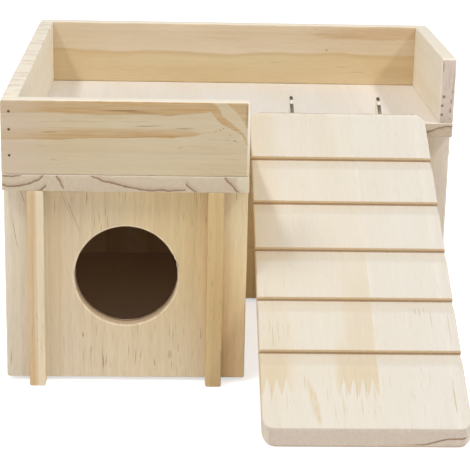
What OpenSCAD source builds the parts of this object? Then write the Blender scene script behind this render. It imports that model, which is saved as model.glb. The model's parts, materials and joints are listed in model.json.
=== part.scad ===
// Wooden hide for a small pet: a box house under an L-shaped roof tray with guard rails,
// a round entrance in its projecting front and a notched ramp that hangs on the tray by two wire hooks.
// Lengths are in millimetres. The floor is z = 0 and the origin is the middle of the whole footprint.

/* [House] */
// Overall width of the house
house_w = 300; // [285:5:330]
// Overall depth of the house, from the front rail to the back rail
house_d = 300; // [270:5:340]
// Height of the house, from the floor to the top of the rails
house_h = 183; // [165:1:200]
// Thickness of the house boards
board_t = 10; // [8:0.5:11]
// Width of the front box, which is also the length of the front rail
box_w = 150; // [140:1:160]
// Distance from the front of the house back to the recessed edge of the deck
recess_y = 156; // [145:1:165]
// How far the recessed wall stands behind that edge
wall_setback = 9; // [6:0.5:11]
// Height of the guard rails above the deck
rail_h = 46; // [35:1:55]
// Clear height under the wall boards, all but the back one
floor_gap = 2.5; // [1:0.5:6]

/* [Entrance] */
// Diameter of the round entrance
hole_d = 64; // [50:1:76]
// Height of the middle of the entrance above the floor
hole_z = 70; // [60:1:76]

/* [Posts] */
// Width of each square post
post_w = 10; // [8:0.5:12]
// Distance from a post to the side edge of the panel that it stands against
post_inset = 15; // [10:0.5:25]

/* [Ramp] */
// Clear distance between the front box and the ramp
ramp_gap = 6.5; // [4:0.5:10]
// Width of the ramp
ramp_w = 122.5; // [112:0.5:126]
// Thickness of the ramp board
ramp_t = 10; // [9:0.5:11]
// How far the foot of the ramp stands in front of the house
ramp_reach = 90.5; // [75:0.5:120]
// How far the upper end of the ramp stands above the deck
ramp_rise = 6.5; // [5.5:0.5:8.5]
// Gap between the ramp and the edge of the deck
ramp_play = 0.4; // [0.3:0.1:0.6]
// Radius of the ramp's four corners, seen from above
corner_r = 8; // [4:0.5:14]
// Width of the widest of the three glued staves, on the left
left_stave_w = 70.5; // [64:0.5:78]
// Width of the narrow strip glued to the right edge
edge_strip_w = 8.5; // [6:0.5:10]

/* [Foothold notches] */
// Number of saw-tooth notches across the ramp
notch_count = 5; // [3:1:5]
// Distance along the ramp from its upper end to the first notch
notch_first = 45.8; // [42:0.1:52]
// Distance along the ramp from one notch to the next
notch_pitch = 43.3; // [38:0.1:46]
// Depth of a notch at its uphill wall
notch_depth = 3.5; // [2:0.1:4.2]
// Length of the slope that brings a notch back to the surface
notch_run = 12.5; // [10:0.5:18]

/* [Hooks] */
// Diameter of the hook wire
hook_d = 2.4; // [2:0.1:2.8]
// Distance between the two hooks
hook_spread = 62; // [54:1:68]
// Distance from the recessed edge of the deck back to the hook holes
hook_back = 24; // [23:0.5:32]
// Radius of the bend, along the middle of the wire
hook_bend_r = 3.5; // [2.5:0.1:4.5]
// Length of wire screwed into the end of the ramp
hook_in = 14; // [10:0.5:20]
// Depth that a hook reaches into the deck
leg_depth = 9; // [6:0.5:9.5]
// Clearance all round the wire in its hole in the deck
hook_play = 0.3; // [0.2:0.05:0.5]

/* [Nails] */
// Diameter of the rail nails
nail_d = 1.8; // [1.4:0.1:2.2]
// Length of the rail nails
nail_l = 24; // [18:1:30]
// Distance of the upper nails below the top of the rails
nail_top = 7; // [5:0.5:10]
// Distance of the middle nails below the top of the rails
nail_mid = 18; // [15:0.5:22]
// Distance of the lower nails below the top of the rails
nail_low = 34; // [28:0.5:35]

/* [Hidden] */
$fn = 64;
// Extra length that carries a cutting shape clear of the faces it cuts
cut = 1;

// Heights of the house
deck_z = house_h - rail_h;
deck_under = deck_z - board_t;
wall_h = deck_under - floor_gap;

// Distances behind the front of the house
panel_y = board_t;
room_y = panel_y + board_t;
wall_y = recess_y + wall_setback;
back_rail_y = house_d - board_t;
room_back_y = back_rail_y - board_t;

// The ramp seen from the side: both ends are cut plumb and the foot stands on the floor
ramp_x = box_w + ramp_gap;
end_y = recess_y - ramp_play;
foot_y = -ramp_reach;
top_z = deck_z + ramp_rise;
run = end_y - foot_y;
slope = acos(ramp_t / norm([run, top_z])) - atan2(run, top_z);
plumb_t = ramp_t / cos(slope);
downhill = [-cos(slope), -sin(slope)];
outward = [-sin(slope), cos(slope)];
function on_ramp(distance) = [end_y, top_z] + distance * downhill;
function notch(distance) = [
    on_ramp(distance),
    on_ramp(distance) - notch_depth * outward,
    on_ramp(distance + notch_run)
];
notch_points = [for (i = [0 : notch_count - 1]) each notch(notch_first + i * notch_pitch)];
ramp_side = concat(
    [on_ramp(0)],
    notch_points,
    [[foot_y, plumb_t], [foot_y, 0], [end_y, top_z - plumb_t]]
);

// The hooks: a shank in line with the ramp, a bend and an upright leg that drops into the deck
shank_lift = 0.6;
bend_swell = 0.04;
bend_overlap = 0.3;
shank_z = deck_z + hook_d / 2 / cos(slope) + shank_lift;
leg_y = recess_y + hook_back;
bend_start_y = leg_y - hook_bend_r * (1 + sin(slope));
shank_out = (bend_start_y - end_y) / cos(slope);
bend_z = shank_z + shank_out * sin(slope) - hook_bend_r * cos(slope);
shank_len = hook_in + shank_out;
leg_len = bend_z - deck_z + leg_depth;
left_hook_x = ramp_x + (ramp_w - hook_spread) / 2;
right_hook_x = left_hook_x + hook_spread;

// Heights of the nails
nail_heights = [house_h - nail_top, house_h - nail_mid, house_h - nail_low];

// Moves the house from its front left corner to the middle of the whole footprint
module placed() translate([-house_w / 2, (ramp_reach - house_d) / 2, 0]) children();

// A plain wall board standing between two corners of its plan
module wall(x, y, length_x, length_y) {
    translate([x, y, floor_gap]) cube([length_x, length_y, wall_h]);
}

// A square post from the floor up to the underside of the deck
module post(x, y) {
    translate([x, y, 0]) cube([post_w, board_t, deck_under]);
}

// A column of nails driven along y
module nail_column(x, y) {
    for (z = nail_heights) translate([x, y, z]) rotate([-90, 0, 0]) cylinder(d = nail_d, h = nail_l);
}

module nails() {
    nail_column(board_t / 2, 0);
    nail_column(board_t / 2, house_d - nail_l);
    nail_column(house_w - board_t / 2, house_d - nail_l);
}

// Moves a hook's bend to its place above the deck
module at_bend(x) translate([x, leg_y - hook_bend_r, bend_z]) children();

// A straight run of hook wire along z, from the bend downwards and a little way into it
module wire(length) translate([0, 0, -length]) cylinder(d = hook_d, h = length + bend_overlap);

// The straight part of a hook, inside and outside the ramp, seen from the middle of its bend
module shank() {
    rotate([slope, 0, 0]) translate([0, 0, hook_bend_r]) rotate([-90, 0, 0]) wire(shank_len);
}

// A whole hook; its bend is a hair thicker than the wire, as bent wire is
module hook() {
    shank();
    rotate([90, 0, 90]) rotate_extrude(angle = 90 + slope)
        translate([hook_bend_r, 0]) circle(d = hook_d + bend_swell);
    translate([0, hook_bend_r, 0]) wire(leg_len);
}

// The ramp seen from above, with rounded corners
module ramp_outline() {
    translate([ramp_x, foot_y]) {
        translate([corner_r, 0]) square([ramp_w - 2 * corner_r, run]);
        translate([0, corner_r]) square([ramp_w, run - 2 * corner_r]);
        for (x = [corner_r, ramp_w - corner_r], y = [corner_r, run - corner_r])
            translate([x, y]) circle(r = corner_r);
    }
}

// One stave of the ramp, with the bores of the hooks that end in it
module stave(x, width) {
    difference() {
        intersection() {
            translate([x, 0, 0]) rotate([90, 0, 90]) linear_extrude(width) polygon(ramp_side);
            linear_extrude(house_h) ramp_outline();
        }
        for (hook_x = [left_hook_x, right_hook_x]) at_bend(hook_x) shank();
    }
}

module front_panel() color("tan") placed() difference() {
    wall(0, panel_y, box_w, board_t);
    translate([box_w / 2, panel_y - cut, hole_z]) rotate([-90, 0, 0])
        cylinder(d = hole_d, h = board_t + 2 * cut);
}

module left_wall() color("burlywood") placed() wall(0, room_y, board_t, room_back_y - room_y);

// The back wall goes down to the floor and carries the back of the house
module back_wall() color("burlywood") placed()
    translate([0, room_back_y, 0]) cube([house_w, board_t, deck_under]);

module right_wall() color("burlywood") placed()
    wall(house_w - board_t, wall_y + board_t, board_t, room_back_y - wall_y - board_t);

module inner_wall() color("burlywood") placed()
    wall(box_w - board_t, room_y, board_t, wall_y + board_t - room_y);

module recess_wall() color("tan") placed() wall(box_w, wall_y, house_w - box_w, board_t);

module front_left_post() color("wheat") placed() post(post_inset, 0);

module front_right_post() color("wheat") placed() post(box_w - post_inset - post_w, 0);

module deck() color("antiquewhite") placed() difference() {
    translate([0, 0, deck_under]) cube([house_w, house_d, board_t]);
    translate([box_w, -cut, deck_under - cut])
        cube([house_w - box_w + cut, recess_y + cut, board_t + 2 * cut]);
    for (x = [left_hook_x, right_hook_x]) translate([x, leg_y, deck_under - cut])
        cylinder(r = hook_d / 2 + hook_play, h = board_t + 2 * cut);
}

module front_rail() color("tan") placed() difference() {
    translate([0, 0, deck_z]) cube([box_w, board_t, rail_h]);
    nails();
}

module left_rail() color("wheat") placed() difference() {
    translate([0, board_t, deck_z]) cube([board_t, back_rail_y - board_t, rail_h]);
    nails();
}

module back_rail() color("burlywood") placed() difference() {
    translate([0, back_rail_y, deck_z]) cube([house_w, board_t, rail_h]);
    nails();
}

module right_rail() color("wheat") placed() difference() {
    translate([house_w - board_t, recess_y, deck_z]) cube([board_t, back_rail_y - recess_y, rail_h]);
    nails();
}

module rail_nails() color("dimgray") placed() nails();

module ramp_left_stave() color("antiquewhite") placed() stave(ramp_x, left_stave_w);

module ramp_middle_stave() color("linen") placed()
    stave(ramp_x + left_stave_w, ramp_w - left_stave_w - edge_strip_w);

module ramp_edge_strip() color("antiquewhite") placed()
    stave(ramp_x + ramp_w - edge_strip_w, edge_strip_w);

module left_hook() color("silver") placed() at_bend(left_hook_x) hook();

module right_hook() color("silver") placed() at_bend(right_hook_x) hook();

front_panel();
left_wall();
back_wall();
right_wall();
inner_wall();
recess_wall();
front_left_post();
front_right_post();
deck();
front_rail();
left_rail();
back_rail();
right_rail();
rail_nails();
ramp_left_stave();
ramp_middle_stave();
ramp_edge_strip();
left_hook();
right_hook();
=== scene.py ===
# %% [markdown]
# A wooden hide for a small reptile: a box house of pine boards with a round entrance, a roof tray
# with guard rails, and a notched ramp that hangs on the tray by two wire hooks.
# The packed CAD model is loaded first. It stays the measure of everything: each new piece takes its
# place and size from the box of the CAD node that it stands for.

# %% Load the frame
import json
import math
from types import SimpleNamespace

import bpy
import numpy as np
from mathutils import Matrix, Vector
from mathutils.geometry import delaunay_2d_cdt


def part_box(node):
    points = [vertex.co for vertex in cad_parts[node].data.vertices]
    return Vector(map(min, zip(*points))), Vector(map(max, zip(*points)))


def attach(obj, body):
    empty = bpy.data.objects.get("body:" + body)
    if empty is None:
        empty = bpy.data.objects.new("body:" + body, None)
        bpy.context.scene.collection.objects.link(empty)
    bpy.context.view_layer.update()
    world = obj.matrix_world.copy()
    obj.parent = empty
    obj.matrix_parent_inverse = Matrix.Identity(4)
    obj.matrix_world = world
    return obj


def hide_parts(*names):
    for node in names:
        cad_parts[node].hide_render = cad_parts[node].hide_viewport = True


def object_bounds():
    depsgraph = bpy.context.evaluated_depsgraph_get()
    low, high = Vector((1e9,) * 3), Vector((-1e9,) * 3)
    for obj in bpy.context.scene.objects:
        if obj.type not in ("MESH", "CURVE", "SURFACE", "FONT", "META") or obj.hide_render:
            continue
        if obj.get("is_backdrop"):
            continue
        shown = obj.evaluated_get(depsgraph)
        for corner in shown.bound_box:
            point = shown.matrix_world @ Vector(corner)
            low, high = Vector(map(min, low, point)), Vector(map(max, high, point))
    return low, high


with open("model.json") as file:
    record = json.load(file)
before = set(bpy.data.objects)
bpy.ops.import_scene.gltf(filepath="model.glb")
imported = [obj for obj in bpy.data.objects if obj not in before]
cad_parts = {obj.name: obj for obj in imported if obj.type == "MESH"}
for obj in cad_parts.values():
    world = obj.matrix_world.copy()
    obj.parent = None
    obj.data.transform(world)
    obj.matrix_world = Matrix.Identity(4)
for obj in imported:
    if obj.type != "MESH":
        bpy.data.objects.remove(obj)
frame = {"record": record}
cad_low, cad_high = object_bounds()
MM = 0.001
print("CAD box in mm:", [round(side / MM, 1) for side in cad_high - cad_low])

# %% [markdown]
# The camera stands where the picture was taken from: a long lens about a metre in front of the
# house, a little above its roof and looking down on it. A camera's own axes are its right, its up
# and its backward direction, so the three go straight into a matrix instead of a list of turns.

# %% Camera
CAMERA_PLACE = Vector((-45.35, -1044.22, 382.87)) * MM
YAW, PITCH, ROLL = np.radians([2.273, 16.722, 1.255])
LENS_MM = 122.6
SENSOR_MM = 36.0

ahead = Vector((math.sin(YAW) * math.cos(PITCH), math.cos(YAW) * math.cos(PITCH), -math.sin(PITCH)))
level = Vector((math.cos(YAW), -math.sin(YAW), 0))
above = level.cross(ahead)
right = level * math.cos(ROLL) + above * math.sin(ROLL)
up = above * math.cos(ROLL) - level * math.sin(ROLL)
camera_data = bpy.data.cameras.new("camera")
camera_data.lens = LENS_MM
camera_data.sensor_width = SENSOR_MM
camera = bpy.data.objects.new("camera", camera_data)
bpy.context.scene.collection.objects.link(camera)
camera.matrix_world = Matrix.Translation(CAMERA_PLACE) @ Matrix((right, up, -ahead)).transposed().to_4x4()
bpy.context.scene.camera = camera
print("camera is", round((CAMERA_PLACE - (cad_low + cad_high) / 2).length, 3), "m from the house")

# %% [markdown]
# The shaders of the boards are long sums. A Mask is any number, colour or vector that runs through a
# shader tree, and it can be added and multiplied like a plain number: each sum becomes a math node.
# So the recipe of a board can be written down as a maker would say it.

# %% Masks in a shader tree
class Mask:
    """A number, colour or vector in a shader tree. Sums become math nodes, and a | b is the larger one."""

    def __init__(self, tree, socket):
        self.tree = tree
        self.socket = socket

    def __add__(self, other):
        return calc("ADD", self, other)

    def __sub__(self, other):
        return calc("SUBTRACT", self, other)

    def __mul__(self, other):
        return calc("MULTIPLY", self, other)

    def __truediv__(self, other):
        return calc("DIVIDE", self, other)

    def __or__(self, other):
        return calc("MAXIMUM", self, other)

    def __abs__(self):
        return calc("ABSOLUTE", self)

    def parts(self):
        """The three numbers of a vector or a colour."""
        node = self.tree.nodes.new("ShaderNodeSeparateXYZ")
        feed(node.inputs["Vector"], self)
        return [Mask(self.tree, socket) for socket in node.outputs]

    def ease(self, low, high, to_low=0.0, to_high=1.0):
        """A soft step: to_low below low, to_high above high and a smooth curve between."""
        node = self.tree.nodes.new("ShaderNodeMapRange")
        node.interpolation_type = "SMOOTHSTEP"
        for socket, value in zip(node.inputs, (self, low, high, to_low, to_high)):
            feed(socket, value)
        return Mask(self.tree, node.outputs["Result"])

    def fade(self, low, high, start=1.0):
        """A soft step down: start below low and nought above high."""
        return self.ease(low, high, start, 0.0)


def feed(socket, value):
    """Links a socket to a mask, or sets its own value."""
    if isinstance(value, Mask):
        value.tree.links.new(value.socket, socket)
    else:
        socket.default_value = value


def tree_of(*values):
    """The tree of the first mask among some values."""
    return next(value.tree for value in values if isinstance(value, Mask))


def calc(operation, *values):
    """One math node; returns its result."""
    tree = tree_of(*values)
    node = tree.nodes.new("ShaderNodeMath")
    node.operation = operation
    for socket, value in zip(node.inputs, values):
        feed(socket, value)
    return Mask(tree, node.outputs["Value"])


def vector_calc(operation, first, second=(0, 0, 0), scale=1.0):
    """One vector math node; returns its vector, or its number where it measures a length."""
    node = first.tree.nodes.new("ShaderNodeVectorMath")
    node.operation = operation
    feed(node.inputs[0], first)
    feed(node.inputs[1], second)
    if operation == "SCALE":
        feed(node.inputs["Scale"], scale)
    return Mask(first.tree, node.outputs["Value" if operation == "LENGTH" else "Vector"])


def vector(*numbers):
    """A vector from three numbers, at least one of them a mask."""
    tree = tree_of(*numbers)
    node = tree.nodes.new("ShaderNodeCombineXYZ")
    for socket, number in zip(node.inputs, numbers):
        feed(socket, number)
    return Mask(tree, node.outputs["Vector"])


def distance_of(first, second):
    """The long side of a right-angled triangle with two given sides."""
    return calc("SQRT", first * first + second * second)


print("a mask can", ", ".join(name for name in vars(Mask) if not name.startswith("_")))

# %% [markdown]
# More helpers make colours and noise. One reads a paint chart, one mixes two colours, and one looks a
# colour up in a table of places. The noise takes the size of its cells in millimetres, because the cells
# of wood are short across the grain and long along it.

# %% Colours, tables and noise
WHITE = (1, 1, 1, 1)
# The curve of a paint chart: its full value, the straight part near black, and the power above that
CHART_FULL = 255
CHART_KNEE, CHART_SLOPE = 0.04045, 12.92
CHART_OFFSET, CHART_POWER = 0.055, 2.4
# The sockets of a Mix node that take the share and two colours, and the one that gives the result
MIX_INPUTS = (0, 6, 7)
MIX_RESULT = 2


def tone(red, green, blue):
    """A colour from a paint chart, 0 to 255 a channel, as the linear colour that a shader uses."""
    chart = np.array([red, green, blue]) / CHART_FULL
    curved = ((chart + CHART_OFFSET) / (1 + CHART_OFFSET)) ** CHART_POWER
    linear = np.where(chart <= CHART_KNEE, chart / CHART_SLOPE, curved)
    return (*linear.tolist(), 1.0)


def mix(share, first, second, mode="MIX"):
    """Mixes two colours."""
    tree = tree_of(share, first, second)
    node = tree.nodes.new("ShaderNodeMix")
    node.data_type = "RGBA"
    node.blend_type = mode
    for number, value in zip(MIX_INPUTS, (share, first, second)):
        feed(node.inputs[number], value)
    return Mask(tree, node.outputs[MIX_RESULT])


def grain_noise(position, cell, detail=2.0, rough=0.5):
    """Noise from 0 to 1 whose cells measure that many millimetres across, through and along."""
    node = position.tree.nodes.new("ShaderNodeTexNoise")
    node.inputs["Scale"].default_value = 1.0
    node.inputs["Detail"].default_value = detail
    node.inputs["Roughness"].default_value = rough
    feed(node.inputs["Vector"], vector_calc("DIVIDE", position, cell))
    return Mask(position.tree, node.outputs["Fac"])


def swing(position, cell, width, detail=2.0):
    """Noise that swings to both sides of nought, over a width in all."""
    return grain_noise(position, cell, detail) * width - width / 2


def lottery(number):
    """A share from 0 to 1 that is drawn anew for each value of a number."""
    node = number.tree.nodes.new("ShaderNodeTexWhiteNoise")
    node.noise_dimensions = "1D"
    feed(node.inputs["W"], number)
    return Mask(number.tree, node.outputs["Value"])


def table(value, rows, low, high, kind):
    """A Color Ramp over a range in millimetres; each row is a place and a colour, or a place and four
    numbers. Returns the colour and its fourth number."""
    tree = value.tree
    node = tree.nodes.new("ShaderNodeValToRGB")
    node.color_ramp.interpolation = kind
    feed(node.inputs["Fac"], (value - low) / (high - low))
    elements = node.color_ramp.elements
    elements.remove(elements[1])
    for number, (place, colour) in enumerate(rows):
        element = elements.new((place - low) / (high - low)) if number else elements[0]
        element.color = colour
    return Mask(tree, node.outputs["Color"]), Mask(tree, node.outputs["Alpha"])


print("middle grey of the chart is", round(tone(128, 128, 128)[0], 3), "in a shader")

# %% [markdown]
# A recipe that several boards share goes into a shader group with named sockets, which is built once and
# placed in each material. A finish is a material with one Principled shader, and a bump lets heights
# that are too fine for geometry catch the light.

# %% Groups and finishes
FLOAT, VECTOR, COLOUR = "NodeSocketFloat", "NodeSocketVector", "NodeSocketColor"


def new_group(name, inputs, outputs):
    """An empty shader group with named sockets; returns its tree, its inputs as masks and its outputs."""
    tree = bpy.data.node_groups.new(name, "ShaderNodeTree")
    for label, kind, start in inputs:
        tree.interface.new_socket(label, in_out="INPUT", socket_type=kind).default_value = start
    for label, kind in outputs:
        tree.interface.new_socket(label, in_out="OUTPUT", socket_type=kind)
    entry = tree.nodes.new("NodeGroupInput").outputs
    given = {label: Mask(tree, entry[label]) for label, kind, start in inputs}
    return tree, given, tree.nodes.new("NodeGroupOutput").inputs


def new_finish(name):
    """An empty material with a Principled shader; returns it, its tree and the inputs of its shader."""
    material = bpy.data.materials.new(name)
    material.use_nodes = True
    tree = material.node_tree
    return material, tree, tree.nodes["Principled BSDF"].inputs


def bumped(sockets, height, strength, depth):
    """Lets a mask of heights bend the light on a finish."""
    node = height.tree.nodes.new("ShaderNodeBump")
    node.inputs["Strength"].default_value = strength
    node.inputs["Distance"].default_value = depth
    feed(node.inputs["Height"], height)
    feed(sockets["Normal"], Mask(height.tree, node.outputs["Normal"]))


print("kinds of sockets:", FLOAT, VECTOR, COLOUR)

# %% [markdown]
# Light in a small studio: a pale room all round, a lamp high on the left, a lamp high on the right, a
# soft box overhead and a wide screen behind the camera. The two lamps are strips that run from front to
# back: narrow enough to draw the shadow of a side rail inside the tray and of the box along the ramp, and
# long enough to melt the shadow of the front rail. The room fills those shadows up again. To the
# camera the room is plain white; the Light Path node tells its rays from the rest.

# %% Room and lamps
ROOM_LIGHT = 0.42
ROOM_SEEN = 1.0
ROOM_COLOUR = (1.0, 0.965, 0.91, 1)
LAMP_COLOUR = (0.985, 1.0, 1.03)
# Place, width and length in metres, and watts of each lamp
LAMPS = {
    "lamp_left": ((-1.15, -1.0, 2.3), 0.32, 1.3, 22.0),
    "lamp_right": ((1.63, -1.0, 2.3), 0.32, 1.3, 26.0),
    "soft_box": ((0.0, -0.66, 2.0), 1.0, 1.0, 3.0),
    "front_screen": ((-0.2, -1.9, 0.75), 1.6, 1.6, 3.0),
}

world = bpy.data.worlds.new("studio")
bpy.context.scene.world = world
world.use_nodes = True
room = world.node_tree
room.nodes.clear()
to_camera = Mask(room, room.nodes.new("ShaderNodeLightPath").outputs["Is Camera Ray"])
background = room.nodes.new("ShaderNodeBackground")
feed(background.inputs["Color"], mix(to_camera, ROOM_COLOUR, WHITE))
feed(background.inputs["Strength"], to_camera.ease(0, 1, ROOM_LIGHT, ROOM_SEEN))
room_out = room.nodes.new("ShaderNodeOutputWorld")
feed(room_out.inputs["Surface"], Mask(room, background.outputs["Background"]))

middle = (cad_low + cad_high) / 2
for name, (place, wide, long, watts) in LAMPS.items():
    data = bpy.data.lights.new(name, "AREA")
    data.color = LAMP_COLOUR
    data.shape = "ELLIPSE"
    data.size = wide
    data.size_y = long
    data.energy = watts
    fitting = bpy.data.objects.new(name, data)
    bpy.context.scene.collection.objects.link(fitting)
    backward = (Vector(place) - middle).normalized()
    long_way = (Vector((0, 1, 0)) - backward * backward.y).normalized()
    turned = Matrix((long_way.cross(backward), long_way, backward)).transposed().to_4x4()
    fitting.matrix_world = Matrix.Translation(place) @ turned
bpy.context.scene.view_settings.view_transform = "Standard"
print("lamps:", ", ".join(LAMPS))

# %% [markdown]
# The hide stands on white paper. To the camera the paper outside shines a little, so that it melts into the
# white room, and inside the house it is painted brown as painted shade under the house. The house has two
# rooms in plan, so two boxes tell inside from outside. A very faint warm lamp under the roof shows through
# the entrance that the house is hollow.

# %% Paper floor
FLOOR_HALF = 6.0
FLOOR_Z = -0.1 * MM
PLAIN_PAPER = (0.93, 0.93, 0.93, 1)
# The brown of the paper inside the house is painted shade.
PAPER_PAINTED_SHADE = (0.84, 0.74, 0.62, 1)
PAPER_ROUGHNESS = 0.9
PAPER_LIFT = 0.6
GLOW_WATTS = 0.0046
GLOW_COLOUR = (1.0, 0.5, 0.22)
GLOW_RADIUS = 0.02
GLOW_FROM_BACK = 0.1
GLOW_FROM_ROOF = 0.02

floor_corners = np.array([(-1, -1), (1, -1), (1, 1), (-1, 1)]) * FLOOR_HALF
floor_mesh = bpy.data.meshes.new("floor")
floor_mesh.from_pydata([(x, y, FLOOR_Z) for x, y in floor_corners.tolist()], [], [(0, 1, 2, 3)])
floor = bpy.data.objects.new("floor", floor_mesh)
bpy.context.scene.collection.objects.link(floor)
floor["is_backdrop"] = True
paper, paper_tree, sheet = new_finish("white_paper")
floor_mesh.materials.append(paper)
seen = Mask(paper_tree, paper_tree.nodes.new("ShaderNodeLightPath").outputs["Is Camera Ray"])
ground = Mask(paper_tree, paper_tree.nodes.new("ShaderNodeTexCoord").outputs["Object"])


def outdoors(low, high):
    """One outside the upright box between two corners of the floor, nought inside it."""
    from_middle = vector_calc("SUBTRACT", ground, (low + high) / 2)
    aside_x, aside_y, _ = vector_calc("ABSOLUTE", from_middle).parts()
    beyond = (aside_x - (high.x - low.x) / 2) | (aside_y - (high.y - low.y) / 2)
    return calc("GREATER_THAN", beyond, 0.0)


left_wall_low, left_wall_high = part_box("left_wall")
inner_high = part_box("inner_wall")[1]
back_room_low = Vector((left_wall_low.x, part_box("recess_wall")[1].y, 0))
back_room_high = Vector((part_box("right_wall")[1].x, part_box("back_wall")[1].y, 0))
open_floor = outdoors(left_wall_low, inner_high) * outdoors(back_room_low, back_room_high)
# Inside the house the paper takes that brown as painted shade.
feed(sheet["Base Color"], mix(open_floor, PAPER_PAINTED_SHADE, PLAIN_PAPER))
feed(sheet["Emission Color"], seen * open_floor)
sheet["Roughness"].default_value = PAPER_ROUGHNESS
sheet["Emission Strength"].default_value = PAPER_LIFT

glow_data = bpy.data.lights.new("room_glow", "POINT")
glow_data.energy = GLOW_WATTS
glow_data.color = GLOW_COLOUR
glow_data.shadow_soft_size = GLOW_RADIUS
glow = bpy.data.objects.new("room_glow", glow_data)
bpy.context.scene.collection.objects.link(glow)
glow.location = ((left_wall_low.x + inner_high.x) / 2, left_wall_high.y - GLOW_FROM_BACK,
                 left_wall_high.z - GLOW_FROM_ROOF)
print("front room is", round((inner_high.x - left_wall_low.x) / MM), "mm wide")

# %% [markdown]
# Pine figure as a solid: a board is a slice out of a trunk, and every ring of the trunk is a tube
# round the pith. So the group works out how far each point is from the pith line, wobbles that a
# little and cuts it into rings. The same sum then gives straight lines on an edge, arches on a face and
# arcs on the end grain, and they meet at the corners as they do in a real board.

# %% Pine figure group
# Millimetres that a seed moves the noise, so that no two boards are alike
SEED_STRIDES = (37.0, 91.0, 530.0)
# Cells and width of the two swings of the rings
DRIFT_CELL, DRIFT = (70, 70, 260), 6.0
RIPPLE_CELL, RIPPLE = (9, 9, 60), 1.05
LATE_WOOD_END = 0.93
WEAKEST_YEAR = 0.5
FINE_CELL, FINE_SHARE = (0.8, 0.8, 10), 0.65
FINE_DETAIL, FINE_ROUGHNESS = 6.0, 0.65
COARSE_CELL = (2.4, 2.4, 60)
TONE_CELL = (26, 26, 150)
FLECK_WIDTH, FLECK_EDGE = 0.9, (0.62, 0.74)
PATCH_CELL, PATCH_EDGE = (20, 20, 60), (0.42, 0.6)
FLECK_DETAIL = 1.0

figure, given, result = new_group(
    "pine_figure",
    [("Position", VECTOR, (0, 0, 0)), ("Pith", VECTOR, (0, 0, 0)), ("Ring_width", FLOAT, 10.0),
     ("Seed", FLOAT, 0.0), ("Fleck_length", FLOAT, 8.0)],
    [("Ring", FLOAT), ("Fibre", FLOAT), ("Fleck", FLOAT), ("Tone", FLOAT)])

shifts = [given["Seed"] * stride for stride in SEED_STRIDES]
seeded = vector_calc("ADD", given["Position"], vector(*shifts))
pith_across, pith_through, _ = vector_calc("SUBTRACT", given["Position"], given["Pith"]).parts()
wobble = swing(seeded, RIPPLE_CELL, RIPPLE) + swing(seeded, DRIFT_CELL, DRIFT)
turns = (distance_of(pith_across, pith_through) + wobble) / given["Ring_width"]
part = calc("FRACT", turns)
late = part * part * part.fade(LATE_WOOD_END, 1.0)
year = lottery(calc("FLOOR", turns) + given["Seed"]) * (1 - WEAKEST_YEAR) + WEAKEST_YEAR
feed(result["Ring"], late * year)
fine_fibre = grain_noise(seeded, FINE_CELL, FINE_DETAIL, FINE_ROUGHNESS)
coarse_fibre = grain_noise(seeded, COARSE_CELL)
feed(result["Fibre"], fine_fibre * FINE_SHARE + coarse_fibre * (1 - FINE_SHARE))
feed(result["Tone"], grain_noise(seeded, TONE_CELL))
fleck_cell = vector(FLECK_WIDTH, FLECK_WIDTH, given["Fleck_length"])
spot = grain_noise(seeded, fleck_cell, FLECK_DETAIL).ease(*FLECK_EDGE)
feed(result["Fleck"], spot * grain_noise(seeded, PATCH_CELL, FLECK_DETAIL).ease(*PATCH_EDGE))
print("group", figure.name, "has", len(figure.nodes), "nodes")

# %% [markdown]
# The finish turns figure into colour: pale early wood, darker late wood, short resin flecks, fine fibres and
# slow changes of tone. Sawn ends drink in dirt and look darker, and the arrises are lightened a little as a
# painted highlight. Roughness and the height for the bump come from the same masks, so a dark ring is also a
# slightly raised and glossier one.

# %% Sanded pine finish group
TONE_EDGE = (0.35, 0.65)
FIBRE_MIDDLE = 0.5
# Share by which the colour is lightened near an arris: a painted highlight.
ARRIS_PAINTED_HIGHLIGHT = 0.06
DRY_ROUGHNESS, FIBRE_ROUGHNESS, RING_GLOSS = 0.56, 0.2, 0.1
RING_HEIGHT, FIBRE_HEIGHT, SPOT_DEPTH = 0.5, 0.6, 0.8

finish, given, result = new_group(
    "sanded_pine",
    [("Ring", FLOAT, 0.0), ("Fibre", FLOAT, 0.5), ("Fleck", FLOAT, 0.0), ("Tone", FLOAT, 0.5),
     ("End", FLOAT, 0.0), ("Arris", FLOAT, 0.0), ("Mark", FLOAT, 0.0), ("Pale", COLOUR, WHITE),
     ("Warm", COLOUR, WHITE), ("Dark", COLOUR, WHITE), ("Streak", COLOUR, WHITE), ("Sawn", COLOUR, WHITE),
     ("Ring_strength", FLOAT, 1.0), ("Fleck_strength", FLOAT, 0.5), ("Fibre_strength", FLOAT, 0.3)],
    [("Color", COLOUR), ("Roughness", FLOAT), ("Height", FLOAT)])

body_tone = mix(given["Tone"].ease(*TONE_EDGE), given["Pale"], given["Warm"])
plain = mix(given["End"], body_tone, given["Sawn"])
ringed = mix(given["Ring"] * given["Ring_strength"], plain, given["Dark"])
spots = given["Fleck"] * given["Fleck_strength"] | given["Mark"]
flecked = mix(spots, ringed, given["Streak"])
fibre_change = (given["Fibre"] - FIBRE_MIDDLE) * given["Fibre_strength"]
fibrous = vector_calc("SCALE", flecked, scale=fibre_change + 1.0)
# Near an arris the colour is lightened a little: a painted highlight.
feed(result["Color"], vector_calc("SCALE", fibrous, scale=given["Arris"] * ARRIS_PAINTED_HIGHLIGHT + 1.0))
feed(result["Roughness"], given["Fibre"] * FIBRE_ROUGHNESS + DRY_ROUGHNESS - given["Ring"] * RING_GLOSS)
feed(result["Height"], given["Ring"] * RING_HEIGHT + given["Fibre"] * FIBRE_HEIGHT - spots * SPOT_DEPTH)
print("group", finish.name, "has", len(finish.nodes), "nodes")

# %% [markdown]
# A resin streak or a hairline crack is a thin dark lens in the wood. The group measures how far a point is
# from the middle of one lens, in lengths and widths of that lens, and frays it with fine noise.

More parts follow.
